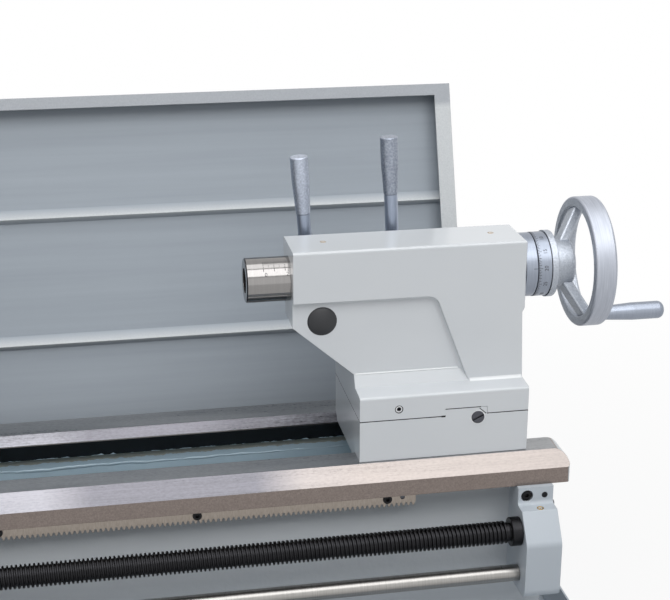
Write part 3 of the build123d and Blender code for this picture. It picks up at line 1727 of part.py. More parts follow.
def make_handwheel():
    ring = turned(
        (barrel_right, screw_radius + running_gap),
        (barrel_right, bearing_radius),
        (ring_right, bearing_radius, quill_chamfer),
        (ring_right, screw_radius + running_gap),
    )
    nodes["screw_bearing_ring"] = quill_tip * ring
    hub_left = wheel_left + wheel_collar_length
    hub_right = hub_left + wheel_hub_length
    nodes["feed_screw"] = quill_tip * rod_x(screw_radius, screw_tip, hub_right, 0, 0)
    dial = turned(
        (ring_right + sliding_gap, screw_radius + seat_gap),
        (ring_right + sliding_gap, dial_radius),
        (wheel_left, dial_radius),
        (wheel_left, screw_radius + seat_gap),
    )
    nodes["graduated_dial"] = quill_tip * dial

    wheel = turned(
        (wheel_left, screw_radius + seat_gap),
        (wheel_left, wheel_collar),
        (hub_left, wheel_collar, quill_chamfer),
        (hub_left, wheel_hub),
        (hub_right, wheel_hub, plug_round),
        (hub_right, screw_radius + seat_gap),
    )
    rim_end = rim_start + rim_width
    inner = wheel_radius - wheel_rim
    wheel += turned(
        (rim_start, inner, rim_round),
        (rim_start, wheel_radius, rim_round),
        (rim_end, wheel_radius, rim_round),
        (rim_end, inner, rim_round),
    )
    spoke_tip = inner + wheel_rim / 2
    spoke_end = rim_start + (rim_width - spoke_depth) / 2
    spoke = along_y(
        outline(
            (spoke_start, spoke_root),
            (spoke_end, spoke_tip),
            (spoke_end + spoke_depth, spoke_tip),
            (spoke_start + spoke_depth, spoke_root),
        ),
        -spoke_width / 2,
        spoke_width / 2,
    )
    long_edges = spoke.edges().filter_by(Axis.Y, reverse=True).sort_by(SortBy.LENGTH)[-4:]
    spoke = fillet(long_edges, spoke_round)
    for turn in (spoke_angle - 90, spoke_angle + 90):
        wheel += Rot(turn, 0, 0) * spoke
    wheel -= rod_x(screw_radius + seat_gap, wheel_left, hub_right, 0, 0)
    pin_y = handle_ring * cos(radians(spoke_angle + 180))
    pin_z = handle_ring * sin(radians(spoke_angle + 180))
    wheel += rod_x(handle_pin, rim_start + rim_round, rim_end + handle_pin_length, pin_y, pin_z)
    nodes["tailstock_handwheel"] = quill_tip * wheel

    start = rim_end + handle_gap
    end = start + handle_length
    pin_end = rim_end + handle_pin_length + free_gap
    handle = turned(
        (start, handle_pin + running_gap),
        (start, handle_neck),
        ((start + end) / 2, handle_radius),
        (end, handle_radius, handle_round),
        (end, 0),
        (pin_end, 0),
        (pin_end, handle_pin + running_gap),
    )
    nodes["handwheel_handle"] = quill_tip * Pos(0, pin_y, pin_z) * handle


def lock_lever(rise, lean):
    """Lock lever and its grip, seen from its pivot: shaft along Y, stem up and leaning."""
    hub_front = lever_behind + barrel_half
    hub_back = hub_front + lock_hub_length
    shaft_front = barrel_half - lock_shaft_depth + free_gap
    middle = (hub_front + hub_back) / 2
    grip_foot = rise - lock_grip_length
    lever = rod_y(lock_radius, shaft_front, hub_back, 0, 0) + rod_y(lock_hub, hub_front, hub_back, 0, 0)
    stem = rod_z(lever_stem, 0, grip_foot, 0, middle)
    stem += rod_z(lever_spigot, grip_foot, grip_foot + lever_spigot_length, 0, middle)
    lever += Rot(0, lean, 0) * stem
    bore_end = grip_foot + lever_spigot_length + free_gap
    grip_start = grip_foot + lock_grip_seam
    grip = turned(
        (grip_start, lever_spigot + seat_gap),
        (grip_start, lock_grip_foot),
        (rise - lock_grip_straight, lock_grip_top),
        (rise, lock_grip_top, lock_grip_round),
        (rise, 0),
        (bore_end, 0),
        (bore_end, lever_spigot + seat_gap),
    )
    grip = Rot(0, lean, 0) * Pos(0, middle, 0) * upright(grip)
    return lever, grip


def make_locks():
    plug = turned(
        (-plug_spigot, 0),
        (-plug_spigot, lock_radius),
        (0, lock_radius),
        (0, plug_radius),
        (plug_dome, plug_radius, plug_round),
        (plug_dome, 0),
    )
    core_front = pocket_depth - barrel_half
    nodes["bore_plug"] = quill_tip * Pos(plug_x, core_front, -plug_drop) * facing_front(plug)
    places = (
        ("quill_lock", plug_x, plug_drop, quill_lever_rise, quill_lever_lean),
        ("bed_lock", bed_lever_x, bed_lever_drop, bed_lever_rise, bed_lever_lean),
    )
    for name, x, drop, rise, lean in places:
        lever, grip = lock_lever(rise, lean)
        nodes[name + "_lever"] = quill_tip * Pos(x, 0, -drop) * lever
        nodes[name + "_grip"] = quill_tip * Pos(x, 0, -drop) * grip


make_bed()
make_tray()
make_guard()
make_rack()
make_bracket()
make_shafts()
make_headstock()
make_spindle()
make_chuck()
make_change_gears()
make_drive()
make_motor_plate()
make_end_cover()
make_gearbox()
make_controls()
make_saddle()
make_apron()
make_carriage_controls()
make_cross_slide()
make_top_slide()
make_tool_post()
make_tailstock_body()
make_tailstock_base()
make_clamp()
make_quill()
make_handwheel()
make_locks()

os.makedirs("parts", exist_ok=True)
for name, part in nodes.items():
    export_step(part, f"parts/{name}.step")
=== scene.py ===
# %% [markdown]
# # A bench lathe, dressed for the studio
# The solids of the lathe come in as the frame: every casting, shaft and lever at its true size.
# In this lesson they get their finishes, then the small things that a machinist's eye looks for
# (graduations, oilers, threads, screws), and last the studio that matches the photograph's view.

# %% Load the solids
import random
from math import asin, cos, pi, radians, sin, sqrt

import bmesh
import bpy
from mathutils import Matrix, Vector


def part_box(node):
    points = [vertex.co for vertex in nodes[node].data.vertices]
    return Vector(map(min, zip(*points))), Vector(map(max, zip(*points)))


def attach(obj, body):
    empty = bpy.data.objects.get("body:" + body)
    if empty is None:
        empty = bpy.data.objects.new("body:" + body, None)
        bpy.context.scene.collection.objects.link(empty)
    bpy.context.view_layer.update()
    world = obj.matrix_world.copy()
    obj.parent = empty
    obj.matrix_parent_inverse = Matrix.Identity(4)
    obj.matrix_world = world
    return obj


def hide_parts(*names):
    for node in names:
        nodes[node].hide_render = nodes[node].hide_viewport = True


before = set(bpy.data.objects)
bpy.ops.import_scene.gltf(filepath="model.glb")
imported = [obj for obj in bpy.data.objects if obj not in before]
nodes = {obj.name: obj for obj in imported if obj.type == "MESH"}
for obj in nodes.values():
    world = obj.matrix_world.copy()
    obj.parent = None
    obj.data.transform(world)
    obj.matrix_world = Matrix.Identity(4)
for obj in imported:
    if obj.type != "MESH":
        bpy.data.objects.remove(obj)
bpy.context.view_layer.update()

# %% [markdown]
# ## Colours and shader nodes
# Colours are picked as sRGB hex values, but shaders work in linear light, so one function turns the
# first into the second. Another adds any shader node. Its inputs are given from the top of the node down,
# or by name, and one that is a node itself gets linked. Pattern sizes are in millimetres and the solids
# in metres, so a pattern's scale is a thousand over its size.

# %% Colour and node helpers
def linear(hex_colour):
    """sRGB hex text to the linear colour a shader wants."""
    channels = [int(hex_colour[i:i + 2], 16) / 255 for i in (1, 3, 5)]
    bright = [c / 12.92 if c <= 0.04045 else ((c + 0.055) / 1.055) ** 2.4 for c in channels]
    return (*bright, 1.0)


def feed(node, *values, **named):
    """Sets a node's inputs from the top down or by name; a node or a socket becomes a link."""
    shown = [socket for socket in node.inputs if socket.enabled]
    by_name = {socket.name.lower().replace(" ", "_"): socket for socket in shown}
    for socket, value in [*zip(shown, values), *((by_name[name], named[name]) for name in named)]:
        if isinstance(value, bpy.types.Node):
            value = next(output for output in value.outputs if output.enabled)
        if isinstance(value, bpy.types.NodeSocket):
            node.id_data.links.new(value, socket)
        else:
            socket.default_value = linear(value) if isinstance(value, str) else value


def add(tree, kind, *values, **named):
    """Adds a shader node and sets its inputs; a second word in kind is its operation or data type."""
    kind, *mode = kind.split()
    node = tree.nodes.new("ShaderNode" + kind)
    if mode:
        setattr(node, "data_type" if kind == "Mix" else "operation", mode[0])
    feed(node, *values, **named)
    return node


def per_mm(*sizes):
    """Texture scale for a pattern of that size in millimetres, or of those sizes along X, Y and Z."""
    scales = [1000.0 / size for size in sizes]
    return scales if len(scales) > 1 else scales[0]


def new_finish(name, **named):
    """A material, its node tree, its shader with constant values on its own sockets, and object space."""
    material = bpy.data.materials.new(name)
    material.use_nodes = True
    tree = material.node_tree
    shader = tree.nodes["Principled BSDF"]
    feed(shader, **named)
    return material, tree, shader, add(tree, "TexCoord").outputs["Object"]


print("white paper in linear light:", [round(c, 3) for c in linear("#FFFFFF")])

# %% [markdown]
# ## Enamel on castings and sheet
# The castings are filled, sprayed with two-part enamel and left glossy. Up close such paint has orange
# peel a millimetre or two across, a slow drift of tone and gloss, and edges where it flowed thin and rubbed
# pale; that pale edge tone is also a painted highlight. Noise in object space needs no unwrapping and stays
# the same size on every casting, and the bevel node finds the edges by itself: where its rounded normal
# leaves the true one, there is an edge.

# %% Enamel finishes
def enamel(name, colour, shadow, worn_and_highlit, roughness, peel_mm, peel_depth_mm, edge_mm):
    """Sprayed enamel: colour drifts to its shadow tone over a hand's breadth, with peel, and edges painted
    pale as wear and as a highlight.
    """
    material, tree, shader, spot = new_finish(name, ior=1.5)
    drift = add(tree, "TexNoise", spot, per_mm(90), 2.0)
    tone = add(tree, "Mix RGBA", drift, colour, shadow)
    rounded = add(tree, "Bevel", radius=edge_mm / 1000)
    true_normal = add(tree, "NewGeometry").outputs["Normal"]
    alike = add(tree, "VectorMath DOT_PRODUCT", rounded, true_normal)
    # edges get a paler tone: partly wear, partly a painted highlight
    on_face, on_edge, strongest_edge_tint = 0.985, 0.88, 0.4
    edge = add(tree, "MapRange", alike, on_face, on_edge, to_max=strongest_edge_tint)
    rubbed_and_highlit = add(tree, "Mix RGBA", edge, tone, worn_and_highlit)
    gloss = add(tree, "MapRange", drift, to_min=roughness - 0.05, to_max=roughness + 0.05)
    peel = add(tree, "TexNoise", spot, per_mm(peel_mm), 3.0)
    bump = add(tree, "Bump", height=peel, strength=0.6, distance=peel_depth_mm / 1000, normal=rounded)
    feed(shader, base_color=rubbed_and_highlit, roughness=gloss, normal=bump)
    return material


# light grey castings: even, smooth and glossy, so edges carry a thin highlight, part of it painted in their
# pale edge tone
casting_enamel = enamel(
    "light_grey_enamel_on_cast_iron", "#D3D6D9", "#CCD0D4", "#DADDE0", 0.13, 2.2, 0.012, 0.35)
# where two faces meet, enamel gathers into a thicker, glossier bead; its near white colour is a painted
# highlight
highlit_enamel_bead = enamel("light_grey_enamel_gathered", "#F0F2F3", "#E0E3E5", "#F4F6F7", 0.10, 6.0, 0.15, 0.3)
# the end bracket and chip tray are sprayed drier, which leaves a fine speckle
dry_enamel = enamel("dry_sprayed_grey_enamel", "#BAC1C8", "#AEB6BE", "#CCD2D7", 0.42, 1.0, 0.08, 0.8)
# motor housing: a darker grey stove enamel over cast aluminium
motor_enamel = enamel(
    "grey_stove_enamel_on_aluminium", "#8E979C", "#848E94", "#A5ADB1", 0.38, 1.6, 0.04, 0.8)
print("enamels:", casting_enamel.name, highlit_enamel_bead.name, dry_enamel.name, motor_enamel.name)

# %% [markdown]
# ## Powder coat on the splash guard
# The guard is a folded sheet with a powder coat: a finely pebbled skin with a broad soft sheen and no
# clear reflection. The real pebbles are about half a millimetre wide, too fine to show at this distance,
# so they are drawn about twice as coarse.

# %% Powder coat
powder_coat, tree, shader, spot = new_finish("grey_powder_coat_on_folded_steel", ior=1.5, roughness=0.5)
# years of wiping have left the panel faintly streaked along the bed
wiped = add(tree, "Mapping", spot, scale=per_mm(300, 9, 9))
streaked = add(tree, "TexNoise", wiped, 1.0, 3.0)
speckle = add(tree, "TexNoise", spot, per_mm(1.6), 2.0)
# the lip along the top is painted darker than the folds at the two sides: painted shade
panel_in_painted_shade, side_fold, top_fold_in_painted_shade = [
    add(tree, "Mix RGBA", pattern, dark, bright) for pattern, dark, bright in (
        (streaked, "#9098A1", "#A1A9B1"), (speckle, "#B8BCBF", "#D3D6D7"), (speckle, "#9A9EA4", "#AEB2B7"))]
# the recessed panel is painted darker than the folds standing out from it, as painted shade: how far a
# point stands out from the leaning panel chooses the paler tone
lean = radians(18.4)
lip_front = (0, 0.128, 0.27)
forward = add(tree, "VectorMath SUBTRACT", spot, lip_front)
depth, rise = [add(tree, "VectorMath DOT_PRODUCT", forward, way) for way in (
    (0, cos(lean), -sin(lean)), (0, sin(lean), cos(lean)))]
panel_depth, fold_depth, panel_top, lip_top = 0.0195, 0.012, 0.294, 0.300
on_fold = add(tree, "MapRange", depth, panel_depth, fold_depth)
at_top = add(tree, "MapRange", rise, panel_top, lip_top)
fold = add(tree, "Mix RGBA", at_top, side_fold, top_fold_in_painted_shade)
tone = add(tree, "Mix RGBA", on_fold, panel_in_painted_shade, fold)
pebble = add(tree, "TexNoise", spot, per_mm(1.1), 2.0)
rounded = add(tree, "Bevel", radius=0.0009)
bump = add(tree, "Bump", height=pebble, strength=0.5, distance=0.00012, normal=rounded)
feed(shader, base_color=tone, normal=bump)
print("powder coat:", powder_coat.name)

# %% [markdown]
# ## The bed: brushed-on enamel below, ground iron above
# One casting carries several finishes. The ways are surface ground, which leaves fine lines along the bed
# and a silky sheen. Everything below is brushed with enamel, grey outside and pale blue between the ways,
# glossy and a little lumpy. The rear way's inner edge is left rough and painted black. Height, depth and
# the way a face looks choose the finish.

# %% Where on the bed
bed_finish, tree, shader, spot = new_finish("ground_ways_and_brushed_enamel")
along, across, height = add(tree, "SeparateXYZ", spot).outputs
facing = add(tree, "NewGeometry").outputs["True Normal"]
facing_x, _, facing_z = add(tree, "SeparateXYZ", facing).outputs
way_foot_z, lip_under_z, feet_top_z = 0.2389, 0.2459, 0.1
lip_y, web_y, tolerance = 0.0606, 0.0666, 0.0008
above_foot = add(tree, "Math GREATER_THAN", height, way_foot_z)
# the cut ends of the ways are painted like the rest of the casting
end_looks = 0.35
not_end = add(tree, "Math LESS_THAN", add(tree, "Math ABSOLUTE", facing_x), end_looks)
bare = add(tree, "Math MULTIPLY", above_foot, not_end)
# so are the rear way's inner face and the web under it
lip_face, web_plane = [add(tree, "Math COMPARE", across, y, tolerance) for y in (lip_y, web_y)]
below_lip = add(tree, "Math LESS_THAN", height, lip_under_z)
web_face = add(tree, "Math MULTIPLY", web_plane, below_lip)
for painted in (lip_face, web_face):
    bare = add(tree, "Math SUBTRACT", bare, painted)
    bare.use_clamp = True
# the end walls and the feet are painted grey like the outside
between = add(tree, "Math GREATER_THAN", height, feet_top_z)
for way, middle, half in ((across, 0.0148, 0.0557), (along, 0.31, 0.63)):
    within = add(tree, "Math COMPARE", way, middle, half)
    between = add(tree, "Math MULTIPLY", between, within)
print("bed masks:", len(tree.nodes), "nodes")

# %% Paint of the bed
# two tones drawn out along the bed by the brush
strokes = add(tree, "Mapping", spot, scale=per_mm(160, 14, 14))
brushed = add(tree, "TexNoise", strokes, 1.0, 3.0)
outer_paint, inner_paint = [add(tree, "Mix RGBA", brushed, one, other) for one, other in (
    ("#B4B9BE", "#C1C6CA"), ("#BFD3DE", "#B0C5D1"))]
paint = add(tree, "Mix RGBA", between, outer_paint, inner_paint)
# just under the rear way the web is painted an olive grey as painted shade under the lip, with a ragged
# border; the black on the rear way's inner face has chipped off in spots along its own
ragged = add(tree, "TexNoise", spot, per_mm(7), 4.0)
unevenness = add(tree, "Math SUBTRACT", ragged, 0.5)
border_height = 0.005
black_and_shade_bands = []
for border_z, face in ((0.2385, web_face), (0.2462, lip_face)):
    border = add(tree, "Math MULTIPLY_ADD", unevenness, border_height, border_z)
    above = add(tree, "Math GREATER_THAN", height, border)
    black_and_shade_bands.append(add(tree, "Math MULTIPLY", above, face))
shade_under_lip, black_band = black_and_shade_bands
paint = add(tree, "Mix RGBA", shade_under_lip, paint, "#A8A99F")
print("bed paint:", len(tree.nodes), "nodes")

# %% Iron of the ways
# ground iron: fine lines along the bed, drawn coarser than the real ones so that they show; wear and oil,
# which change the tone slowly along the bed; and the iron's own sparkling grain, drawn coarser too
patterns = []
for sizes_mm, detail in (((60, 0.7, 0.7), 4.0), ((230, 12, 12), 2.0), ((3.5, 1.6, 1.6), 2.0)):
    sized = add(tree, "Mapping", spot, scale=per_mm(*sizes_mm))
    patterns.append(add(tree, "TexNoise", sized, 1.0, detail))
lines, wear, grains = patterns
summed = add(tree, "Math ADD", add(tree, "Math ADD", lines, wear), grains)
streaks = add(tree, "MapRange", summed, 1.1, 1.9)
# the upright faces are only milled: a coarse grain about a millimetre across, in a brown-grey tone painted
# darker as a painted reflection of darker surroundings in front
milling = add(tree, "TexNoise", spot, per_mm(1.3), 3.0)
# the front way's slope is painted a warmer tone towards its right end: painted reflection
warm_reflection_start, warm_reflection_end = 0.50, 0.80
rightward = add(tree, "MapRange", along, warm_reflection_start, warm_reflection_end)
# the rear way's slope gets a darker tone
between_ways_y = 0.03
at_rear = add(tree, "Math GREATER_THAN", across, between_ways_y)
# just left of the tailstock both slopes are painted darker: painted reflection of the tailstock's shaded
# underside
reflection_middle, reflection_half, reflection_fade = 0.62, 0.075, 0.045
off_reflection = add(tree, "Math ABSOLUTE", add(tree, "Math SUBTRACT", along, reflection_middle))
painted_tailstock_reflection = add(tree, "MapRange", off_reflection, reflection_half + reflection_fade, reflection_half)
# the flat tops get a tone of their own: painted reflection of what they face
top_looks, side_looks = 0.97, 0.1
flat_top = add(tree, "Math GREATER_THAN", facing_z, top_looks)
upright = add(tree, "Math LESS_THAN", facing_z, side_looks)
# each tone lies over the ones before it where its mask says so
iron = add(tree, "Mix RGBA", streaks, "#6E6E73", "#96959B")
for mask, pattern, dark, bright in (
        (rightward, streaks, "#797370", "#A29A96"), (at_rear, streaks, "#616165", "#8F8F96"),
        (painted_tailstock_reflection, streaks, "#555559", "#75747B"), (flat_top, streaks, "#898B8D", "#ADAEB0"),
        (upright, milling, "#665D59", "#958A84")):
    tone = add(tree, "Mix RGBA", pattern, dark, bright)
    iron = add(tree, "Mix RGBA", mask, iron, tone)
print("bed iron:", len(tree.nodes), "nodes")

# %% Colour, gloss and relief of the bed
colour = add(tree, "Mix RGBA", bare, paint, iron)
colour = add(tree, "Mix RGBA", black_band, colour, "#101112")
metal = add(tree, "Math MULTIPLY", bare, 0.95)
iron_gloss = add(tree, "MapRange", streaks, to_min=0.26, to_max=0.46)
gloss = add(tree, "Mix", bare, 0.18, iron_gloss)
lumps = add(tree, "TexNoise", spot, per_mm(9), 3.0)
relief = add(tree, "Mix", bare, lumps, lines)
depth = add(tree, "MapRange", bare, to_min=0.0006, to_max=0.00002)
rounded = add(tree, "Bevel", radius=0.0005)
bump = add(tree, "Bump", height=relief, strength=0.7, distance=depth, normal=rounded)
feed(shader, base_color=colour, metallic=metal, roughness=gloss, normal=bump)
print("bed finish:", len(tree.nodes), "nodes")

# %% [markdown]
# ## Bare metals
# Bare metals differ in colour, gloss and the marks of the tool: turning leaves rings, grinding fine lines
# one way, scraping short crossing flakes, casting grain. Each metal gets its colour from two close tones,
# and its roughness and relief from the same marks. The bevel node rounds the edges a little, because a
# broken edge is what catches the light.

# %% Metal finishes
def bare_metal(name, dark, bright, roughness, marks_mm, relief_mm):
    """Metal with tool marks: marks_mm is their size along X, Y and Z."""
    material, tree, shader, spot = new_finish(name, metallic=1.0)
    sized = add(tree, "Mapping", spot, scale=per_mm(*marks_mm))
    marks = add(tree, "TexNoise", sized, 1.0, 4.0)
    tone = add(tree, "Mix RGBA", marks, dark, bright)
    gloss = add(tree, "MapRange", marks, to_min=roughness - 0.06, to_max=roughness + 0.06)
    rounded = add(tree, "Bevel", radius=0.0004)
    bump = add(tree, "Bump", height=marks, strength=0.5, distance=relief_mm / 1000, normal=rounded)
    feed(shader, base_color=tone, roughness=gloss, normal=bump)
    return material


# ground steel: fine lines round a shaft that lies along the bed
ground_steel = bare_metal("ground_steel", "#7F7D7B", "#A5A3A0", 0.3, (0.8, 30, 30), 0.01)
# rack: milled and lightly oiled, brown in the shade
oiled_steel = bare_metal("milled_steel_oiled", "#80776F", "#B2A9A0", 0.42, (1.2, 6, 6), 0.02)
# lock lever stems: drawn steel with a cool bluish cast
drawn_steel = bare_metal("drawn_steel", "#8A93A3", "#A9B2C2", 0.36, (0.7, 0.7, 14), 0.01)
# scraped cast iron on the slides: short crossing flakes
scraped_iron = bare_metal("scraped_cast_iron", "#7E7F80", "#A5A6A6", 0.4, (5, 3, 6), 0.02)
# aluminium of levers and grips: blasted with grit, so dull with a dark and bright speckle; the real pits
# are a few tenths of a millimetre wide, too fine to show from here, so they are drawn coarser
pits_mm = (1.9, 1.9, 1.9)
satin_aluminium = bare_metal("grit_blasted_aluminium", "#757D8C", "#D6DDEA", 0.42, pits_mm, 0.05)
# the bed lock grip is a shade darker than the other
darker_grip_aluminium = bare_metal("soiled_grit_blasted_aluminium", "#5B626F", "#B9C0CC", 0.42, pits_mm, 0.05)
# turned aluminium of ring, dial and handle: fine rings round an axis along the bed
turned_aluminium = bare_metal("turned_aluminium", "#838995", "#9DA4B0", 0.38, (0.6, 18, 18), 0.012)
# black oxide on screws and the leadscrew: almost black with an oily gleam
black_oxide = bare_metal("black_oxide_on_steel", "#19191B", "#343436", 0.38, (1.0, 1.0, 1.0), 0.015)
# set screws and pins: the oxide has rubbed to a dark grey
rubbed_oxide = bare_metal("rubbed_black_oxide", "#3C3D41", "#62636A", 0.36, (0.7, 0.7, 0.7), 0.015)
# the ring that a screwdriver or key has scraped through the paint
scraped_steel = bare_metal("scraped_bright_steel", "#C6C8CC", "#E6E8EA", 0.34, (0.5, 0.5, 0.5), 0.01)
# brass of the oilers
yellow_brass = bare_metal("turned_brass", "#A9853F", "#D2AE62", 0.28, (0.5, 0.5, 0.5), 0.01)
# the oilers on top have dulled to a copper brown
tarnished_brass = bare_metal("tarnished_brass", "#A79784", "#C4B5A2", 0.45, (0.8, 0.8, 0.8), 0.01)
print("metals from", ground_steel.name, "to", tarnished_brass.name)

# %% [markdown]
# ## The polished quill and the cast handwheel
# The quill is hardened, ground and polished, a near mirror with only the faintest rings. The handwheel is
# an aluminium casting with a turned, brushed rim and spokes left as cast, so the distance from its axis
# chooses between the two.

# %% Quill finish
quill_steel = bare_metal("polished_hardened_steel", "#838180", "#918F8E", 0.12, (0.6, 40, 40), 0.002)
# the end face is painted dark: painted reflection of the dark surroundings to its left
tree = quill_steel.node_tree
shader = tree.nodes["Principled BSDF"]
polished = shader.inputs["Base Color"].links[0].from_socket
looks = add(tree, "SeparateXYZ", add(tree, "NewGeometry").outputs["True Normal"])
end_face_painted_dark = add(tree, "Math LESS_THAN", looks.outputs["X"], -0.3)
feed(shader, base_color=add(tree, "Mix RGBA", end_face_painted_dark, polished, "#3A3A3D"))
print("quill finish:", len(tree.nodes), "nodes")

# %% Handwheel finish
wheel_finish, tree, shader, spot = new_finish("cast_aluminium_with_brushed_rim", metallic=1.0)
axis_z, rim_start_radius = 0.44, 0.0595
from_axis = add(tree, "VectorMath ADD", spot, (0, 0, -axis_z))
outward = add(tree, "VectorMath MULTIPLY", from_axis, (0, 1, 1))
radius = add(tree, "VectorMath LENGTH", outward)
on_rim = add(tree, "Math GREATER_THAN", radius, rim_start_radius)
# brushing runs round the rim, so it changes quickly along the axis and slowly round it
round_marks = add(tree, "Mapping", spot, scale=per_mm(0.9, 26, 26))
brushing = add(tree, "TexNoise", round_marks, 1.0, 3.0)
grain = add(tree, "TexNoise", spot, per_mm(1.6), 4.0)
brushed = add(tree, "Mix RGBA", brushing, "#959AA4", "#BEC2CB")
cast = add(tree, "Mix RGBA", grain, "#90969F", "#C5CAD2")
tone = add(tree, "Mix RGBA", on_rim, cast, brushed)
gloss = add(tree, "Mix", on_rim, 0.48, 0.5)
relief = add(tree, "Mix", on_rim, grain, brushing)
depth = add(tree, "MapRange", on_rim, to_min=0.0005, to_max=0.00003)
bump = add(tree, "Bump", height=relief, strength=0.6, distance=depth)
feed(shader, base_color=tone, roughness=gloss, normal=bump)
print("wheel finish:", len(tree.nodes), "nodes")

# %% [markdown]
# ## Plastics, rubber and filled lines
# Buttons and knobs are moulded plastic with the fine grain of the mould; the belt is rubber, dull and
# almost black. A dial's lines and numbers are cut and then filled with black paint.

# %% Moulded finishes
def moulded(name, colour, shadow, roughness, grain_mm, relief_mm):
    """Moulded plastic or rubber with the grain of its tool."""
    material, tree, shader, spot = new_finish(name, ior=1.5)
    grain = add(tree, "TexNoise", spot, per_mm(grain_mm), 3.0)
    tone = add(tree, "Mix RGBA", grain, colour, shadow)
    gloss = add(tree, "MapRange", grain, to_min=roughness - 0.05, to_max=roughness + 0.05)
    bump = add(tree, "Bump", height=grain, strength=0.5, distance=relief_mm / 1000)
    feed(shader, base_color=tone, roughness=gloss, normal=bump)
    return material


# knobs and the plug: nylon, nearly black, with a dull sheen
black_plastic = moulded("black_moulded_polyamide", "#2A2B2F", "#1E1F22", 0.42, 0.8, 0.03)
# push buttons: clear strong colours with a soft gloss
green_plastic = moulded("green_moulded_polycarbonate", "#1F8A45", "#1A7A3C", 0.3, 1.0, 0.02)
red_plastic = moulded("red_moulded_polycarbonate", "#B3211F", "#9E1C1B", 0.3, 1.0, 0.02)
# belt: dull rubber that swallows light
belt_rubber = moulded("black_belt_rubber", "#1C1C1C", "#262626", 0.7, 1.2, 0.06)
# paint rubbed into engraved lines: flat black
line_paint = moulded("black_paint_in_cut_lines", "#1B1B1D", "#26262A", 0.55, 0.6, 0.01)
# dull, nearly black: old oil and dust in a joint, and painted shade in gaps and openings
dirt_and_shade_in_gaps = moulded("oil_and_dust_in_joint", "#17181A", "#232426", 0.7, 0.8, 0.02)
print("moulded finishes from", black_plastic.name, "to", dirt_and_shade_in_gaps.name)

# %% [markdown]
# ## Dressing the solids
# Each solid keeps its shape and gets the finish of the real piece, from a table of finishes and the
# pieces that wear them.

# %% Finish of every solid
worn_by = {
    casting_enamel: "headstock headstock_cover feed_gearbox end_cover apron tailstock_base tailstock_body",
    dry_enamel: "chip_tray leadscrew_bracket motor_plate",
    powder_coat: "splash_guard",
    motor_enamel: "drive_motor",
    bed_finish: "bed",
    oiled_steel: "rack rack_pinion",
    drawn_steel: "quill_lock_lever bed_lock_lever",
    ground_steel: "spindle spindle_bearings spindle_gear chuck_body chuck_scroll chuck_jaw_1 chuck_jaw_2 "
                  "chuck_jaw_3 leadscrew_gear feed_rod feed_screw",
    scraped_iron: "saddle cross_slide swivel_base top_slide clamp_plate gear_arm spindle_pulley "
                  "motor_pulley idler_gear",
    satin_aluminium: "speed_lever half_nut_lever carriage_handwheel cross_handwheel top_slide_crank "
                     "tool_post_lever quill_lock_grip",
    darker_grip_aluminium: "bed_lock_grip",
    turned_aluminium: "screw_bearing_ring graduated_dial handwheel_handle",
    wheel_finish: "tailstock_handwheel",
    quill_steel: "quill",
    black_oxide: "bed_screws tailstock_screws clamp_bolt tool_post leadscrew",
    black_plastic: "bore_plug feed_knob",
    green_plastic: "start_button",
    red_plastic: "stop_button",
    belt_rubber: "drive_belt",
}
for finish, names in worn_by.items():
    for name in names.split():
        nodes[name].data.materials.clear()
        nodes[name].data.materials.append(finish)
dressed = sum(len(names.split()) for names in worn_by.values())
print("dressed", dressed, "of", len(nodes), "solids")

# %% [markdown]
# ## Making small pieces
# Most small parts are turned, so they can be built as a stack of rings round an axis. A ring may be a
# polygon, which gives the hexagon in a cap screw, and a hollow stack closes on itself, which gives a
# washer. The rest are prisms: an outline drawn along a direction. Every piece is built in its place, gets
# its finish and rides on the body that carries it. A line dropped onto a solid finds the surface, so a
# small part stands on it whatever its slope.

# %% Piece helpers
def joined(mesh, loops, closed=False):
    """Joins loops of corners into a skin, and either closes it on itself or caps both ends."""
    count = len(loops[0])
    for low, high in list(zip(loops, loops[1:])) + ([(loops[-1], loops[0])] if closed else []):
        for i in range(count):
            j = (i + 1) % count
            mesh.faces.new((low[i], low[j], high[j], high[i]))
    if not closed:
        mesh.faces.new(list(reversed(loops[0])))
        mesh.faces.new(loops[-1])


def on_cylinder(place, radius, angle, along):
    """The point of a cylinder at an angle and a distance along its axis."""
    return place @ Vector((radius * cos(angle), radius * sin(angle), along))


def ring_stack(mesh, place, rings, segments=24, hollow=False):
    """Adds a closed stack of rings along the place's Z: height and radius, and a polygon's sides if any."""
    turns = [2 * pi * i / segments for i in range(segments)]
    loops = []
    for height, radius, *sides in rings:
        reaches = [radius] * segments
        if sides:
            half = pi / sides[0]
            reaches = [radius / cos(turn % (2 * half) - half) for turn in turns]
        loops.append([mesh.verts.new(on_cylinder(place, reach, turn, height))
                      for reach, turn in zip(reaches, turns)])
    joined(mesh, loops, hollow)


def prism(mesh, place, outline, levels):
    """Adds a closed prism: an outline in the place's XY, at levels of (height, scale) along its Z."""
    middle = sum((Vector(corner) for corner in outline), Vector((0, 0))) / len(outline)
    loops = []
    for height, scale in levels:
        flat = [middle + (Vector(corner) - middle) * scale for corner in outline]
        loops.append([mesh.verts.new(place @ Vector((x, y, height))) for x, y in flat])
    joined(mesh, loops)


def around(at, axis, zero):
    """A place with its Z along an axis and its X to where the angles start."""
    axis, zero = Vector(axis), Vector(zero)
    turned = Matrix((zero, axis.cross(zero), axis)).transposed().to_4x4()
    return Matrix.Translation(at) @ turned


def touch(node, start, direction):
    """Where a straight line from a point first meets a solid, and which way the surface faces there."""
    found, point, facing, face = nodes[node].ray_cast(Vector(start), Vector(direction))
    if not found:
        raise ValueError("the line misses " + node)
    return point, facing


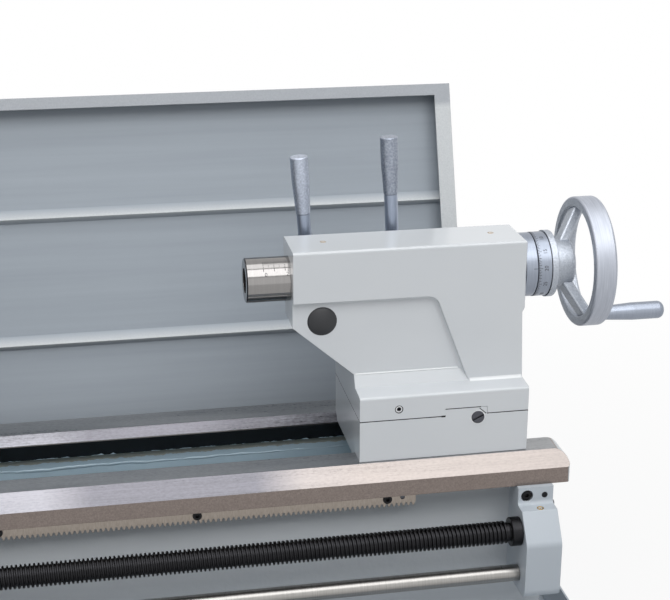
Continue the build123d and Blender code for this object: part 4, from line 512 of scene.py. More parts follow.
def finished_piece(name, mesh, finish, body, sharp_degrees=35):
    """Turns a mesh under construction into a piece that wears its finish and rides on its body."""
    bmesh.ops.recalc_face_normals(mesh, faces=mesh.faces)
    data = bpy.data.meshes.new(name)
    mesh.to_mesh(data)
    mesh.free()
    data.shade_smooth()
    data.set_sharp_from_angle(angle=radians(sharp_degrees))
    data.materials.append(finish)
    piece = bpy.data.objects.new(name, data)
    bpy.context.scene.collection.objects.link(piece)
    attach(piece, body)
    print("made", name, "with", len(data.polygons), "faces on", body)
    return piece


def fittings(name, finish, body, places, segments=36):
    """Makes one piece of stacks of rings, each standing on a solid where the line from a point meets it."""
    mesh = bmesh.new()
    for node, start, direction, rings in places:
        point, facing = touch(node, start, direction)
        upright = facing.to_track_quat("Z", "Y").to_matrix().to_4x4()
        ring_stack(mesh, Matrix.Translation(point) @ upright, rings, segments)
    finished_piece(name, mesh, finish, body)


down, inward, leftward = (0, 0, -1), (0, 1, 0), (-1, 0, 0)
print("top of the tailstock at", [round(c, 4) for c in touch("tailstock_body", (0.85, 0, 0.6), down)[0]])

# %% [markdown]
# ## Marks round a cylinder
# Dials and the quill are engraved and the cuts filled with black. A mark is a thin patch that bends round
# the cylinder: its lower side lies in the metal and its upper side stands a few hundredths of a millimetre
# proud, so it can't flicker. Numbers start as flat text and are wrapped the same way. On a flat face the
# patch is a straight line.

# %% Mark helpers
mark_sink, mark_proud = 0.0003, 0.00004


def wrapped_mark(mesh, place, radius, along, angle, width):
    """Adds a closed patch that covers a stretch along the axis and an arc (in degrees) of a cylinder."""
    first, last = angle - width / 2, angle + width / 2
    steps = max(1, round(width / 6))
    loops = []
    for i in range(steps + 1):
        turn = radians(first + (last - first) * i / steps)
        loops.append([mesh.verts.new(on_cylinder(place, radius + lift, turn, z))
                      for lift, z in ((-mark_sink, along[0]), (mark_proud, along[0]),
                                      (mark_proud, along[1]), (-mark_sink, along[1]))])
    joined(mesh, loops)


def wrapped_number(mesh, place, radius, number, height, angle, along, quarter_turns=0):
    """Adds a number on a cylinder, centred at an angle in degrees; its top points along the axis."""
    letters = bpy.data.curves.new("number", "FONT")
    letters.body = str(number)
    letters.size = height / 0.7  # a digit is seven tenths as tall as its line
    letters.resolution_u = 3
    letters.extrude = mark_sink
    letters.align_x, letters.align_y = "CENTER", "CENTER"
    holder = bpy.data.objects.new("number", letters)
    flat = bpy.data.meshes.new_from_object(holder)
    corners = []
    for vertex in flat.vertices:
        across, up = vertex.co.x, vertex.co.y
        for quarter in range(quarter_turns):
            across, up = up, -across
        lift = mark_proud if vertex.co.z > 0 else -mark_sink
        corners.append(mesh.verts.new(on_cylinder(
            place, radius + lift, radians(angle) + across / radius, along + up)))
    for face in flat.polygons:
        mesh.faces.new([corners[i] for i in face.vertices])
    bpy.data.objects.remove(holder)
    bpy.data.curves.remove(letters)
    bpy.data.meshes.remove(flat)


def straight_mark(mesh, start, end, facing, width, proud=mark_proud, sink=mark_sink):
    """Adds a closed line on a flat face that looks along facing."""
    start, end, facing = Vector(start), Vector(end), Vector(facing)
    aside = facing.cross(end - start).normalized() * width / 2
    joined(mesh, [[mesh.verts.new(at + side * aside + lift * facing)
                   for side, lift in ((-1, -sink), (-1, proud), (1, proud), (1, -sink))]
                  for at in (start, end)])


def turned_radius(node):
    """Radius of a solid that is turned round an axis along the bed."""
    low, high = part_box(node)
    return (high[2] - low[2]) / 2


print("dial radius", round(turned_radius("graduated_dial") * 1000, 2), "mm")

# %% [markdown]
# ## The tailstock dial
# One turn of the handwheel moves the quill by one pitch of its screw. The dial splits it into sixty parts
# with half marks between them and a number at every fifth. It turns with the handwheel.

# %% Dial graduations
dial_radius = turned_radius("graduated_dial")
dial_left, dial_right = (corner[0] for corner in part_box("graduated_dial"))
divisions = 60
# angles go from the front up over the top, and the axis points to the headstock
dial = around((dial_left, 0, axis_z), (-1, 0, 0), (0, -1, 0))
index_angle, index_reading = 9.0, 20
zero_angle = index_angle + 360 * index_reading / divisions
# cut 0.2 mm wide on the real dial, drawn about twice as wide so that they show
mark_degrees, mark_start = 0.9, -0.0003
digit_height, digits_at = 0.0037, -0.0075
marks = bmesh.new()
for i in range(2 * divisions):
    length = 0.0036 if i % 10 == 0 else 0.0026 if i % 2 == 0 else 0.0016
    wrapped_mark(marks, dial, dial_radius, (mark_start - length, mark_start),
                 zero_angle + 180 * i / divisions, mark_degrees)
for i in range(0, divisions, 5):
    angle = zero_angle - 360 * i / divisions
    wrapped_number(marks, dial, dial_radius, i, digit_height, angle, digits_at)
finished_piece("tailstock_dial_graduations", marks, line_paint, "tail_wheel")

# %% Dark seams beside the dial
# oil and dust settle where the dial meets the wheel and the ring, and show as thin dark lines
seams = bmesh.new()
for start, width in ((dial_left + 0.0001, 0.00025), (dial_right - 0.0007, 0.0006)):
    low, high = dial_radius - mark_sink, dial_radius + mark_proud
    ring_stack(seams, around((start, 0, axis_z), (1, 0, 0), (0, 0, 1)),
               [(0, low), (0, high), (width, high), (width, low)], 72, hollow=True)
finished_piece("oil_seams_beside_dial", seams, dirt_and_shade_in_gaps, "tail_wheel")

# %% Index line on the bearing ring
index = bmesh.new()
wrapped_mark(index, dial, turned_radius("screw_bearing_ring"), (0.0003, 0.0050), index_angle, 0.8)
finished_piece("dial_index_line", index, line_paint, "tailstock")

# %% [markdown]
# ## The quill's ruler
# A ruler on the quill shows a hole's depth at the edge of the barrel. Its marks lie on the upper front
# side where the machinist looks: short ones every millimetre, longer ones every five, and numbers in
# centimetres below the longest.

# %% Quill graduations
# a little under the quill's radius, so that the marks pass through the barrel's bore
quill_radius = turned_radius("quill") - 0.000025
ruler_start, ruler_length_mm, ruler_top = 0.7117, 78, -67
digit_height, digit_angle, digit_shift = 0.0036, -29, 0.0020
quill = around((ruler_start, 0, axis_z), (1, 0, 0), (0, -1, 0))
ruler = bmesh.new()
for mm in range(ruler_length_mm + 1):
    lower_end, half = (38, 0.0003) if mm % 10 == 0 else (50, 0.0002) if mm % 5 == 0 else (57, 0.0002)
    wrapped_mark(ruler, quill, quill_radius, (mm / 1000 - half, mm / 1000 + half),
                 (ruler_top - lower_end) / 2, -lower_end - ruler_top)
for cm in range(ruler_length_mm // 10 + 1):
    wrapped_number(ruler, quill, quill_radius, cm, digit_height, digit_angle, cm / 100 + digit_shift, 3)
finished_piece("quill_ruler", ruler, line_paint, "quill")

# %% [markdown]
# ## Oil points and small fittings
# Ball oilers, brass rings round a tiny steel ball, are pressed flush into the top of the tailstock and
# the bracket's ledge. Beside the bracket are a brass plug and a low screw, and a dowel pin shows in the
# rack.

# %% Ball oilers
def oiler_rings(radius):
    """A pressed-in oiler: a flat ring, a dished seat and the ball in it."""
    return [(-0.001, radius), (0.0001, radius), (0.0002, 0.94 * radius), (0.0002, 0.62 * radius),
            (-0.0003, 0.50 * radius), (-0.0001, 0.36 * radius), (0.0001, 0.20 * radius),
            (0.00015, 0.05 * radius)]


fittings("tailstock_ball_oilers", tarnished_brass, "tailstock", [
    ("tailstock_body", (x, 0.0027, 0.6), down, oiler_rings(0.0029)) for x in (0.7702, 0.9315)], 24)
fittings("bracket_ball_oiler", yellow_brass, "bed", [
    ("leadscrew_bracket", (0.9655, -0.0815, 0.3), down, oiler_rings(0.0034))], 24)

# %% Brass plug, screw and dowel
def button_rings(radius, height):
    """A low round head, as of a pin or a blind plug."""
    return [(-0.0005, radius), (0.55 * height, radius), (0.85 * height, 0.86 * radius),
            (height, 0.55 * radius), (height, 0.08 * radius)]


fittings("bracket_brass_plug", yellow_brass, "bed", [
    ("leadscrew_bracket", (1.2, -0.078, 0.2090), leftward, button_rings(0.0024, 0.0018))], 24)
fittings("bracket_screw_and_rack_dowel", rubbed_oxide, "bed", [
    ("leadscrew_bracket", (1.2, -0.069, 0.2195), leftward, button_rings(0.0030, 0.0022)),
    ("rack", (0.8350, -0.3, 0.2348), inward, button_rings(0.0022, 0.0008))], 24)

# %% [markdown]
# ## The joint of the tailstock
# Base and body of the tailstock slide across each other on a key to set it over. Their joint shows as a
# dark line round the casting, painted shade in the groove: a strip a tenth of a millimetre down in the
# groove, and a hairline over the key, where paint has run across the gap.

# %% Split lines
(base_left, base_front, _), (base_right, base_back, _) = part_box("tailstock_base")
split_z = 0.311
key_left, key_right, key_top = 0.8775, 0.918, 0.3182
groove_width, groove_proud, groove_depth = 0.0010, -0.0001, 0.0012
groove = (groove_width, groove_proud, groove_depth)
split, bridge = bmesh.new(), bmesh.new()
for y, look in ((base_front, -1), (base_back, 1)):
    facing = (0, look, 0)
    for left, right in ((base_left, key_left), (key_right, base_right)):
        straight_mark(split, (left, y, split_z), (right, y, split_z), facing, *groove)
    straight_mark(split, (key_left, y, key_top), (key_right - 0.006, y, key_top), facing, 0.0009)
    # the left end of the split is a deeper hollow, drawn as a wider strip of painted shade
    straight_mark(split, (key_left - 0.004, y, split_z), (key_left, y, split_z), facing, 0.0018)
    straight_mark(bridge, (key_left, y, split_z + 0.0010), (key_left, y, key_top - 0.0008), facing, 0.0018)
for x, look in ((base_left, -1), (base_right, 1)):
    straight_mark(split, (x, base_front, split_z), (x, base_back, split_z), (look, 0, 0), *groove)
# a crack in the paint runs from the key down to the split
straight_mark(split, (0.9105, base_front, 0.3170), (0.9172, base_front, 0.3110), (0, -1, 0), 0.0008)
finished_piece("tailstock_split_lines", split, dirt_and_shade_in_gaps, "tailstock")
finished_piece("enamel_across_key_gap", bridge, casting_enamel, "tailstock")

# %% [markdown]
# ## Screws in the tailstock
# Two slotted screws push the body over, and a hollow set screw locks it. The solids show plain heads.
# Here a slotted head is two half discs on a floor, so the slot is a real gap, turned to an angle as on the
# real machine. Round them a driver has scraped the paint to a bright ring.

# %% Slotted and hollow screws
def slotted_head(mesh, place, radius, slot, tilt, depth):
    """Adds a slotted screw that stands a millimetre proud: two half discs over a round floor."""
    reach = asin(slot / 2 / radius)
    for half in (0, pi):
        arc = [reach + (pi - 2 * reach) * i / 18 + half + tilt for i in range(19)]
        outline = [(radius * cos(a), radius * sin(a)) for a in arc]
        prism(mesh, place, outline, [(-depth, 1), (0.0007, 1), (0.0010, 0.94)])
    ring_stack(mesh, place, [(-depth, 0.97 * radius), (-0.0009, 0.97 * radius)], 36)


def flat_ring(mesh, place, inner, outer, segments=40, sink=mark_sink, proud=0.00003):
    """Adds a thin ring that lies flat on a face, such as bare metal in the paint."""
    ring_stack(mesh, place, [(-sink, inner), (proud, inner), (proud, outer), (-sink, outer)],
               segments, hollow=True)


offset_x, offset_z, offset_radius, slot_width, screw_length = 0.9092, 0.3077, 0.0062, 0.0016, 0.0080
set_x, set_z, set_radius, key_radius = 0.8324, 0.3216, 0.0034, 0.0021
front = around((offset_x, base_front, offset_z), (0, -1, 0), (1, 0, 0))
back = around((offset_x, base_back, offset_z), (0, 1, 0), (-1, 0, 0))
lock = around((set_x, base_front, set_z), (0, -1, 0), (1, 0, 0))
screws, rings, gap = bmesh.new(), bmesh.new(), bmesh.new()
for place, tilt in ((front, 25), (back, -40)):
    slotted_head(screws, place, offset_radius, slot_width, radians(tilt), screw_length)
    flat_ring(rings, place, offset_radius + 0.0001, offset_radius + 0.0011)
ring_stack(screws, lock, [
    (-0.0090, 0.98 * set_radius), (-0.0013, 0.98 * set_radius), (-0.0010, 0.90 * set_radius),
    (-0.0010, key_radius, 6), (-0.0060, key_radius, 6), (-0.0062, 0.0003, 6)], 36)
flat_ring(rings, lock @ Matrix.Translation((0, 0, -0.0003)), key_radius, 0.95 * set_radius)
flat_ring(gap, lock, 0.97 * set_radius, set_radius + 0.0006)
heads = finished_piece("tailstock_slotted_and_set_screws", screws, rubbed_oxide, "tailstock")
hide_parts("tailstock_screws")
finished_piece("scraped_rings_of_screws", rings, scraped_steel, "tailstock")
finished_piece("dark_gap_round_set_screw", gap, dirt_and_shade_in_gaps, "tailstock")

# %% [markdown]
# ## The bore plug
# A pressed-in plug closes the bore through the barrel. The solid has a low disc; the real one is a
# shallow dome that carries a soft light over its upper half. Ten rings on a circular arc make it inside
# the disc's own box.

# %% Domed plug
plug_low, plug_high = (Vector(corner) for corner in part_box("bore_plug"))
plug_middle = (plug_low + plug_high) / 2
plug_radius, plug_height = (plug_high.x - plug_low.x) / 2, 0.0040
dome_radius = (plug_radius ** 2 + plug_height ** 2) / (2 * plug_height)
plug_axis = around((plug_middle.x, plug_low.y + plug_height, plug_middle.z), (0, -1, 0), (1, 0, 0))
arc = [plug_radius * (1 - i / 9) for i in range(9)] + [0.0003]
dome = [(sqrt(dome_radius ** 2 - r ** 2) - dome_radius + plug_height, r) for r in arc]
plug = bmesh.new()
ring_stack(plug, plug_axis, [(-0.0090, plug_radius), *dome], 48)
cap = finished_piece("domed_bore_plug", plug, black_plastic, "tailstock", 60)
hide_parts("bore_plug")

# %% [markdown]
# ## Paint in the corners
# Sprayed enamel runs together where two faces meet and dries as a small glossy fillet, which carries the
# thin white highlights at the foot of the column and along the sunk flank; these are partly painted, in the
# fillets' near white colour. One is a prism with a hollow quarter round for its outline, the other a slim
# bead; both lie along the bed.

# %% Column and flank fillets
column_left, column_right, column_y, column_foot_z = 0.9062, 0.9578, 0.029, 0.3364
flank_left, flank_right, flank_y, flank_foot_z = 0.7960, 0.8960, 0.0225, 0.3478
cove_radius, bead_radius, overlap = 0.0026, 0.0009, 0.0005
hollow = [(cos(a) * cove_radius - cove_radius, sin(a) * cove_radius + cove_radius)
          for a in (-pi / 2 * i / 8 for i in range(9))]
cove = [(overlap, -0.0006), (overlap, cove_radius), *hollow, (-cove_radius, -0.0006)]
bead = [(bead_radius * cos(a), bead_radius * sin(a)) for a in (pi * i / 6 for i in range(12))]
corners = bmesh.new()
for side in (-1, 1):
    # the cove's outline points away from the middle plane, seen along the bed
    foot = around((column_left, side * column_y, column_foot_z - 0.0001), (1, 0, 0), (0, 1, 0))
    prism(corners, foot, [(-side * y, z) for y, z in cove], [(0, 1), (column_right - column_left, 1)])
    line = around((flank_left, side * flank_y, flank_foot_z), (1, 0, 0), (0, 1, 0))
    prism(corners, line, bead, [(0, 1), (flank_right - flank_left, 1)])
finished_piece("enamel_fillets_of_tailstock", corners, highlit_enamel_bead, "tailstock", 50)

# %% [markdown]
# ## The sag under the rear way
# Between the ways the enamel was flowed on thickly and hung in a lumpy bead under the black band. The
# bead is a tube whose radius and height wander, drawn from a seeded generator so that it is the same
# every time.

# %% Paint sag
wander = random.Random(11)
sag_left, sag_right, sag_step, sag_z, usual_girth = 0.012, 0.930, 0.006, 0.2322, 0.0006
drop, girth = 0.0, usual_girth
sag, loops = bmesh.new(), []
for i in range(round((sag_right - sag_left) / sag_step) + 1):
    drop = 0.75 * drop + wander.uniform(-0.0006, 0.0006)
    girth = usual_girth + 0.6 * (girth - usual_girth) + wander.uniform(-0.0003, 0.0003)
    centre = Vector((sag_left + i * sag_step, web_y, sag_z + drop))
    loops.append([sag.verts.new(centre + Vector((0, girth * cos(a), 1.5 * girth * sin(a))))
                  for a in (2 * pi * k / 12 for k in range(12))])
joined(sag, loops)
# the same pale blue as the paint between the ways, thick and glossy
sag_paint = enamel("pale_blue_enamel_flowed_on", "#BFD3DE", "#B4C9D5", "#D5E1E8", 0.12, 9.0, 0.3, 0.3)
finished_piece("paint_sag_under_rear_way", sag, sag_paint, "bed", 80)

# %% [markdown]
# ## The leadscrew's thread
# The solid leadscrew is a plain bar. The real one has a trapezoidal thread for the half nuts, so the bar
# is replaced by a core at the thread's root and one rib that winds round it and runs out at both ends.
# Journals and collar keep their sizes.

# %% Leadscrew
leadscrew_axis = around((0, -0.082, 0.199), (1, 0, 0), (0, 0, 1))
thread_pitch, thread_root, thread_crest = 0.004, 0.0088, 0.011
thread_start, thread_end = -0.1095, 0.9355
bar_start, bar_end, journal_radius = -0.407, 0.981, 0.009
collar_end, collar_radius = 0.9455, 0.014


def helical_rib(mesh, place, start, end, pitch, root, crest, steps_per_turn=20):
    """Adds a closed trapezoidal rib that winds along the place's Z and runs out at both ends."""
    steps = round((end - start) / pitch * steps_per_turn)
    half_foot, half_crest = 0.32 * pitch, 0.18 * pitch
    inner, lowest = root - 0.0003, root - 0.0002
    loops = []
    for i in range(steps + 1):
        angle = 2 * pi * i / steps_per_turn
        middle = start + half_foot + (end - start - 2 * half_foot) * i / steps
        run_out = min(1, i / steps_per_turn, (steps - i) / steps_per_turn)
        outer = lowest + (crest - lowest) * run_out
        loops.append([mesh.verts.new(on_cylinder(place, radius, angle, middle + shift))
                      for radius, shift in ((inner, -half_foot), (outer, -half_crest),
                                            (outer, half_crest), (inner, half_foot))])
    joined(mesh, loops)


screw = bmesh.new()
edge_break, step = 0.0005, 1e-5
ring_stack(screw, leadscrew_axis, [
    (bar_start, journal_radius - edge_break), (bar_start + edge_break, journal_radius),
    (thread_start, journal_radius), (thread_start + step, thread_root),
    (thread_end, thread_root), (thread_end + step, collar_radius - edge_break),
    (thread_end + edge_break, collar_radius), (collar_end - edge_break, collar_radius),
    (collar_end, collar_radius - edge_break), (collar_end + step, journal_radius),
    (bar_end - edge_break, journal_radius), (bar_end, journal_radius - edge_break)], 32)
helical_rib(screw, leadscrew_axis, thread_start, thread_end, thread_pitch, thread_root, thread_crest)
leadscrew = finished_piece("threaded_leadscrew", screw, black_oxide, "leadscrew")
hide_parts("leadscrew")

# %% [markdown]
# ## Screws
# Cap screws hold the covers and plates. Each is a turned head with a chamfered rim and a hexagon sunk
# into it. Screws on one body make one piece, so a table of solids, sizes and places is all that they need.
# The tailstock's wheel has a low bright screw, and square-headed ones hold the tool down, two over each
# slot of its post.

# %% Cap screws
def screw_set(name, body, *groups):
    """Makes cap screws; a group has a solid, a direction, a radius, a height, and places in X, Y and Z."""
    screws = []
    for node, direction, radius, height, xs, ys, zs in groups:
        rings = [(-0.0005, radius), (height - 0.15 * radius, radius), (height, 0.88 * radius),
                 (height, 0.54 * radius, 6), (0.35 * height, 0.50 * radius, 6),
                 (0.30 * height, 0.1 * radius, 6)]
        screws += [(node, (x, y, z), direction, rings) for x in xs for y in ys for z in zs]
    fittings(name, black_oxide, body, screws)


screw_set("headstock_cover_screws", "bed", (
    "headstock_cover", down, 0.0065, 0.0045, (-0.310, -0.172, -0.034), (-0.092, 0.098), (0.7,)))
screw_set("feed_gearbox_screws", "bed", (
    "feed_gearbox", inward, 0.0055, 0.005, (-0.318, -0.122), (-0.4,), (0.126, 0.248)))
screw_set("saddle_and_apron_screws", "carriage",
          ("saddle", down, 0.0060, 0.0055, (0.200, 0.400), (-0.120, 0.095), (0.5,)),
          ("apron", inward, 0.0055, 0.005, (0.222, 0.378), (-0.4,), (0.235,)))
# three between the jaws hold the chuck's front
face_radius = 0.062
screw_set("chuck_face_screws", "spindle", *(
    ("chuck_body", leftward, 0.0060, 0.0012, (0.3,), (face_radius * sin(turn),),
     (axis_z + face_radius * cos(turn),)) for turn in map(radians, (60, 180, 300))))
screw_set("cross_wheel_screw", "cross_handwheel", (
    "cross_handwheel", inward, 0.0050, 0.0030, (0.300,), (-0.4,), (0.286,)))
screw_set("carriage_wheel_screw", "carriage_handwheel", (
    "carriage_handwheel", inward, 0.0055, 0.0030, (0.250,), (-0.4,), (0.165,)))

# %% Wheel screw and tool clamps
screw = bmesh.new()
ring_stack(screw, around((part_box("feed_screw")[1][0], 0, axis_z), (1, 0, 0), (0, 0, 1)), [
    (-0.0005, 0.0085), (0.0010, 0.0085), (0.0016, 0.0078), (0.0016, 0.0042, 6), (-0.0002, 0.0040, 6),
    (-0.0003, 0.0005, 6)], 36)
finished_piece("tailstock_wheel_screw", screw, ground_steel, "tail_wheel")
post_x, post_y, post_top, clamp_row = 0.3, -0.062, 0.444, -0.031
clamps = bmesh.new()
for quarter in range(4):
    turned = Matrix.Translation((post_x, post_y, post_top)) @ Matrix.Rotation(quarter * pi / 2, 4, "Z")
    for along_slot in (-0.024, 0.010):
        ring_stack(clamps, turned @ Matrix.Translation((along_slot, clamp_row, 0)), [
            (-0.0005, 0.0050), (0.0030, 0.0050), (0.0030, 0.0047, 4), (0.0125, 0.0047, 4),
            (0.0140, 0.0037, 4)], 32)
finished_piece("tool_post_clamp_screws", clamps, black_oxide, "tool_post")

# %% [markdown]
# ## Dials of the slides
# The cross slide and the top slide have dials like the tailstock's, and the swivel between them has a
# scale of degrees, all made of wrapped marks. A dial's numbers stand the right way up for someone in
# front of the lathe.

# %% Cross slide and top slide dials
def slide_dial(name, body, place, radius, parts, lengths, mark_degrees, digit_height, digits_at):
    """Engraves a dial: its parts, with three lengths of mark for tens, fives and the rest, and the tens."""
    marks = bmesh.new()
    for i in range(parts):
        length = lengths[0 if i % 10 == 0 else 1 if i % 5 == 0 else 2]
        wrapped_mark(marks, place, radius, (0.0005, 0.0005 + length), 360 / parts * i, mark_degrees)
    for i in range(0, parts, 10):
        wrapped_number(marks, place, radius, i, digit_height, 360 / parts * i, digits_at, 2)
    finished_piece(name, marks, line_paint, body)


cross_x, cross_z, cross_face_y = 0.300, 0.286, -0.159
cross_dial = around((cross_x, cross_face_y, cross_z), (0, -1, 0), (0, 0, 1))
slide_dial("cross_dial_graduations", "cross_handwheel", cross_dial, 0.022, 100,
           (0.0050, 0.0038, 0.0026), 0.9, 0.0034, 0.0095)
index = bmesh.new()
top = touch("saddle", (cross_x, -0.152, 0.6), down)[0].z
straight_mark(index, (cross_x, cross_face_y + 0.0005, top), (cross_x, cross_face_y + 0.0085, top),
              (0, 0, 1), 0.0008)
finished_piece("cross_dial_index_line", index, line_paint, "carriage")
swivel_x, swivel_y, swivel_turn = 0.300, -0.062, 30
compound = Matrix.Translation((swivel_x, swivel_y, 0)) @ Matrix.Rotation(radians(swivel_turn), 4, "Z")
top_dial = compound @ around((0, -0.075, 0.370), (0, -1, 0), (0, 0, 1))
slide_dial("top_slide_dial_graduations", "top_slide_crank", top_dial, 0.017, 60,
           (0.0044, 0.0034, 0.0024), 1.2, 0.0032, 0.0085)

# %% Degrees on the swivel
swivel_radius, swivel_foot_z = 0.046, 0.336
scale = around((swivel_x, swivel_y, swivel_foot_z), (0, 0, 1), (0, -1, 0))
marks, index = bmesh.new(), bmesh.new()
for step in range(-60, 61, 2):
    length = 0.0050 if step % 10 == 0 else 0.0032
    wrapped_mark(marks, scale, swivel_radius, (0.0004, 0.0004 + length), swivel_turn + step, 0.4)
for step in range(-60, 61, 30):
    wrapped_number(marks, scale, swivel_radius, abs(step), 0.0040, swivel_turn + step, 0.0090)
finished_piece("swivel_degree_scale", marks, line_paint, "swivel")
straight_mark(index, (swivel_x, -0.1136, swivel_foot_z),
              (swivel_x, swivel_y - swivel_radius - 0.0004, swivel_foot_z), (0, 0, 1), 0.0008)
finished_piece("swivel_index_line", index, line_paint, "cross_slide")

# %% Gib screws
# set screws with lock nuts press the gib in the cross slide
fittings("cross_slide_gib_screws", black_oxide, "cross_slide", [
    ("cross_slide", (0.5, y, 0.316), leftward, [
        (-0.0005, 0.0048, 6), (0.0030, 0.0048, 6), (0.0036, 0.0042), (0.0036, 0.0026),
        (0.0058, 0.0026), (0.0062, 0.0022), (0.0062, 0.0012, 6), (0.0046, 0.0011, 6)])
    for y in (-0.085, -0.035, 0.015, 0.065)])

# %% [markdown]
# ## Small things on the headstock end
# A machinist checks the oil through a round glass, fills it through a plug in the cover and opens the end
# cover by a knob. The motor at the back draws its air through a ribbed cowl. Nearly all of it is turned,
# so stacks of rings make it.

# %% Oil sight glass
glass_at, glass_facing = touch("headstock", (-0.055, -0.4, 0.315), inward)
sight = around(glass_at, glass_facing, (1, 0, 0))
bezel, glass = bmesh.new(), bmesh.new()
ring_stack(bezel, sight, [
    (-0.0005, 0.0085), (0.0030, 0.0085), (0.0040, 0.0095), (0.0040, 0.0120), (0.0030, 0.0132),
    (-0.0005, 0.0132)], 48, hollow=True)
finished_piece("oil_sight_bezel", bezel, satin_aluminium, "bed")
# the oil stands to the middle of the glass: amber below the line, a pale empty chamber above it
oil_glass, tree, shader, spot = new_finish("glass_over_oil", ior=1.5, roughness=0.06)
ripple = add(tree, "TexNoise", spot, per_mm(4), 1.0)
amber = add(tree, "Mix RGBA", ripple, "#8A5A18", "#B07A2A")
level = add(tree, "SeparateXYZ", spot).outputs["Z"]
filled = add(tree, "Math LESS_THAN", level, glass_at.z)
feed(shader, base_color=add(tree, "Mix RGBA", filled, "#C6CBCC", amber))
ring_stack(glass, sight, [
    (-0.0004, 0.0086), (0.0012, 0.0086), (0.0020, 0.0070), (0.0025, 0.0046), (0.0027, 0.0010)], 40)
finished_piece("oil_sight_glass", glass, oil_glass, "bed")

# %% Oil filler plug and knob of the end cover
fittings("oil_filler_plug", black_plastic, "bed", [
    ("headstock_cover", (-0.105, 0.050, 0.7), down, [
        (-0.0005, 0.0150), (0.0010, 0.0150), (0.0014, 0.0140), (0.0014, 0.0120, 12), (0.0040, 0.0120, 12),
        (0.0045, 0.0114), (0.0045, 0.0060), (0.0036, 0.0054), (0.0036, 0.0008)])], 48)
fittings("end_cover_knob", black_plastic, "end_cover", [
    ("end_cover", (-0.375, -0.4, 0.320), inward, [
        (-0.0005, 0.0065), (0.0040, 0.0060), (0.0050, 0.0130, 14), (0.0130, 0.0138, 14), (0.0150, 0.0126),
        (0.0158, 0.0080), (0.0158, 0.0006)])], 56)

# %% Motor cowl
# painted shade: dark rings between the ribs of the cowl stand in for the shaded slots, and the ribs over
# them
motor_y, motor_z, motor_end, bed_in = 0.178, 0.190, -0.098, 0.0004
cowl = around((motor_end, motor_y, motor_z), (1, 0, 0), (0, 0, 1))
slot_shade, ribs = bmesh.new(), bmesh.new()
for inner in (0.016, 0.029, 0.042):
    outer, rib_end = inner + 0.008, inner + 0.013
    flat_ring(slot_shade, cowl, inner, outer, 56, bed_in, 0.0001)
    ring_stack(ribs, cowl, [
        (-bed_in, outer), (0.0012, outer + 0.0006), (0.0020, outer + 0.0016),
        (0.0020, rib_end - 0.0016), (0.0012, rib_end - 0.0006), (-bed_in, rib_end)], 56, hollow=True)
for spoke in range(6):
    turned = cowl @ Matrix.Rotation(spoke * pi / 3, 4, "Z")
    prism(ribs, turned, [(0.010, -0.002), (0.054, -0.002), (0.054, 0.002), (0.010, 0.002)],
          [(-bed_in, 1), (0.0012, 0.98), (0.0018, 0.94)])
ring_stack(ribs, cowl, [(-bed_in, 0.0165), (0.0014, 0.0158), (0.0022, 0.0140), (0.0024, 0.0010)], 40)
finished_piece("motor_cowl_slots", slot_shade, dirt_and_shade_in_gaps, "bed")
finished_piece("motor_cowl_ribs", ribs, motor_enamel, "bed")
screw_set("terminal_box_screws", "bed", (
    "drive_motor", down, 0.0030, 0.0020, (-0.232, -0.184), (0.154, 0.202), (0.5,)))

# %% [markdown]
# ## Floor, light and camera
# The photograph is a studio shot on white. A pale floor catches a soft shadow; seen by the camera it is
# lifted towards white, more so further from the machine, and the world is white too. A large soft box
# hangs high in front, a narrow one overhead, and a weak one fills the front. The camera stands where the
# photographer's did: right of the carriage, looking down on the tailstock.

# %% Floor
def directly_seen(tree):
    """1 for what the camera sees, also in metal and through glass, and 0 for light on the machine."""
    path = add(tree, "LightPath")
    seen = path.outputs["Is Camera Ray"]
    for ray in ("Is Glossy Ray", "Is Transmission Ray"):
        seen = add(tree, "Math ADD", seen, path.outputs[ray])
        seen.use_clamp = True
    return seen


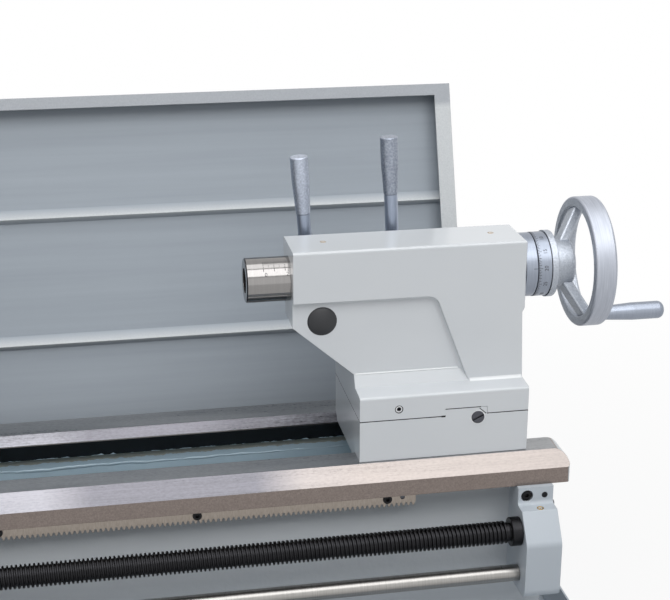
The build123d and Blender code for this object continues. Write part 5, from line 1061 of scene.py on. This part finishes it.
floor_paint, tree, shader, spot = new_finish("white_studio_floor", roughness=0.9)
feed(shader, base_color="#CFCFCF")
from_machine = add(tree, "VectorMath ADD", spot, (-0.33, 0, 0))
squared_up = add(tree, "VectorMath MULTIPLY", from_machine, (0.55, 1, 1))
distance = add(tree, "VectorMath LENGTH", squared_up)
whiter = add(tree, "MapRange", distance, 0.35, 1.3, 0.88, 1.0)
lift = add(tree, "Math MULTIPLY", directly_seen(tree), whiter)
glow = add(tree, "Emission", (1, 1, 1, 1), 1.0)
mix = add(tree, "MixShader", lift, shader, glow)
feed(tree.nodes["Material Output"], surface=mix)
reach = 12.0
floor_mesh = bpy.data.meshes.new("studio_floor")
floor_mesh.from_pydata([(-reach, -reach, 0), (reach, -reach, 0), (reach, reach, 0), (-reach, reach, 0)], [],
                       [(0, 1, 2, 3)])
floor_mesh.materials.append(floor_paint)
floor = bpy.data.objects.new("studio_floor", floor_mesh)
bpy.context.scene.collection.objects.link(floor)
print("floor reaches", reach, "m")

# %% World
world = bpy.data.worlds.new("white_studio")
world.use_nodes = True
tree = world.node_tree
soft = add(tree, "Background", "#F2F5F8", 0.34)
white = add(tree, "Background", (1, 1, 1, 1), 1.0)
mix = add(tree, "MixShader", directly_seen(tree), soft, white)
feed(tree.nodes["World Output"], surface=mix)
bpy.context.scene.world = world
print("world:", world.name)

# %% Lamps
def soft_box(name, at, aim, width, height, power):
    """A rectangular soft box at a point, aimed at another."""
    lamp = bpy.data.lights.new(name, "AREA")
    lamp.shape = "RECTANGLE"
    lamp.size, lamp.size_y = width, height
    lamp.energy = power
    lamp_object = bpy.data.objects.new(name, lamp)
    lamp_object.location = at
    lamp_object.rotation_euler = (Vector(aim) - Vector(at)).to_track_quat("-Z", "Y").to_euler()
    bpy.context.scene.collection.objects.link(lamp_object)
    print("lamp", name, power, "W")


soft_box("high_front_soft_box", (0.85, -1.2, 2.0), (0.82, 0, 0.4), 2.4, 1.3, 28)
soft_box("overhead_soft_box", (0.7, 0, 2.7), (0.7, 0.001, 0), 3.4, 1.1, 22)
soft_box("front_fill", (1.0, -3.2, 1.0), (0.7, 0, 0.4), 3.0, 2.0, 7)

# %% Camera
camera = bpy.data.cameras.new("photographer")
camera.sensor_width = 36.0
camera.sensor_fit = "HORIZONTAL"
focal_px, image_width = 1430.0, 670
camera.lens = focal_px * camera.sensor_width / image_width
viewpoint = bpy.data.objects.new("photographer", camera)
viewpoint.location = (0.5495, -1.2492, 0.8604)
look_down, look_right = 19.3, 10.5
viewpoint.rotation_euler = (radians(90 - look_down), 0, radians(-look_right))
bpy.context.scene.collection.objects.link(viewpoint)
bpy.context.scene.camera = viewpoint
bpy.context.scene.view_settings.view_transform = "Standard"
print("lens", round(camera.lens, 2), "mm")
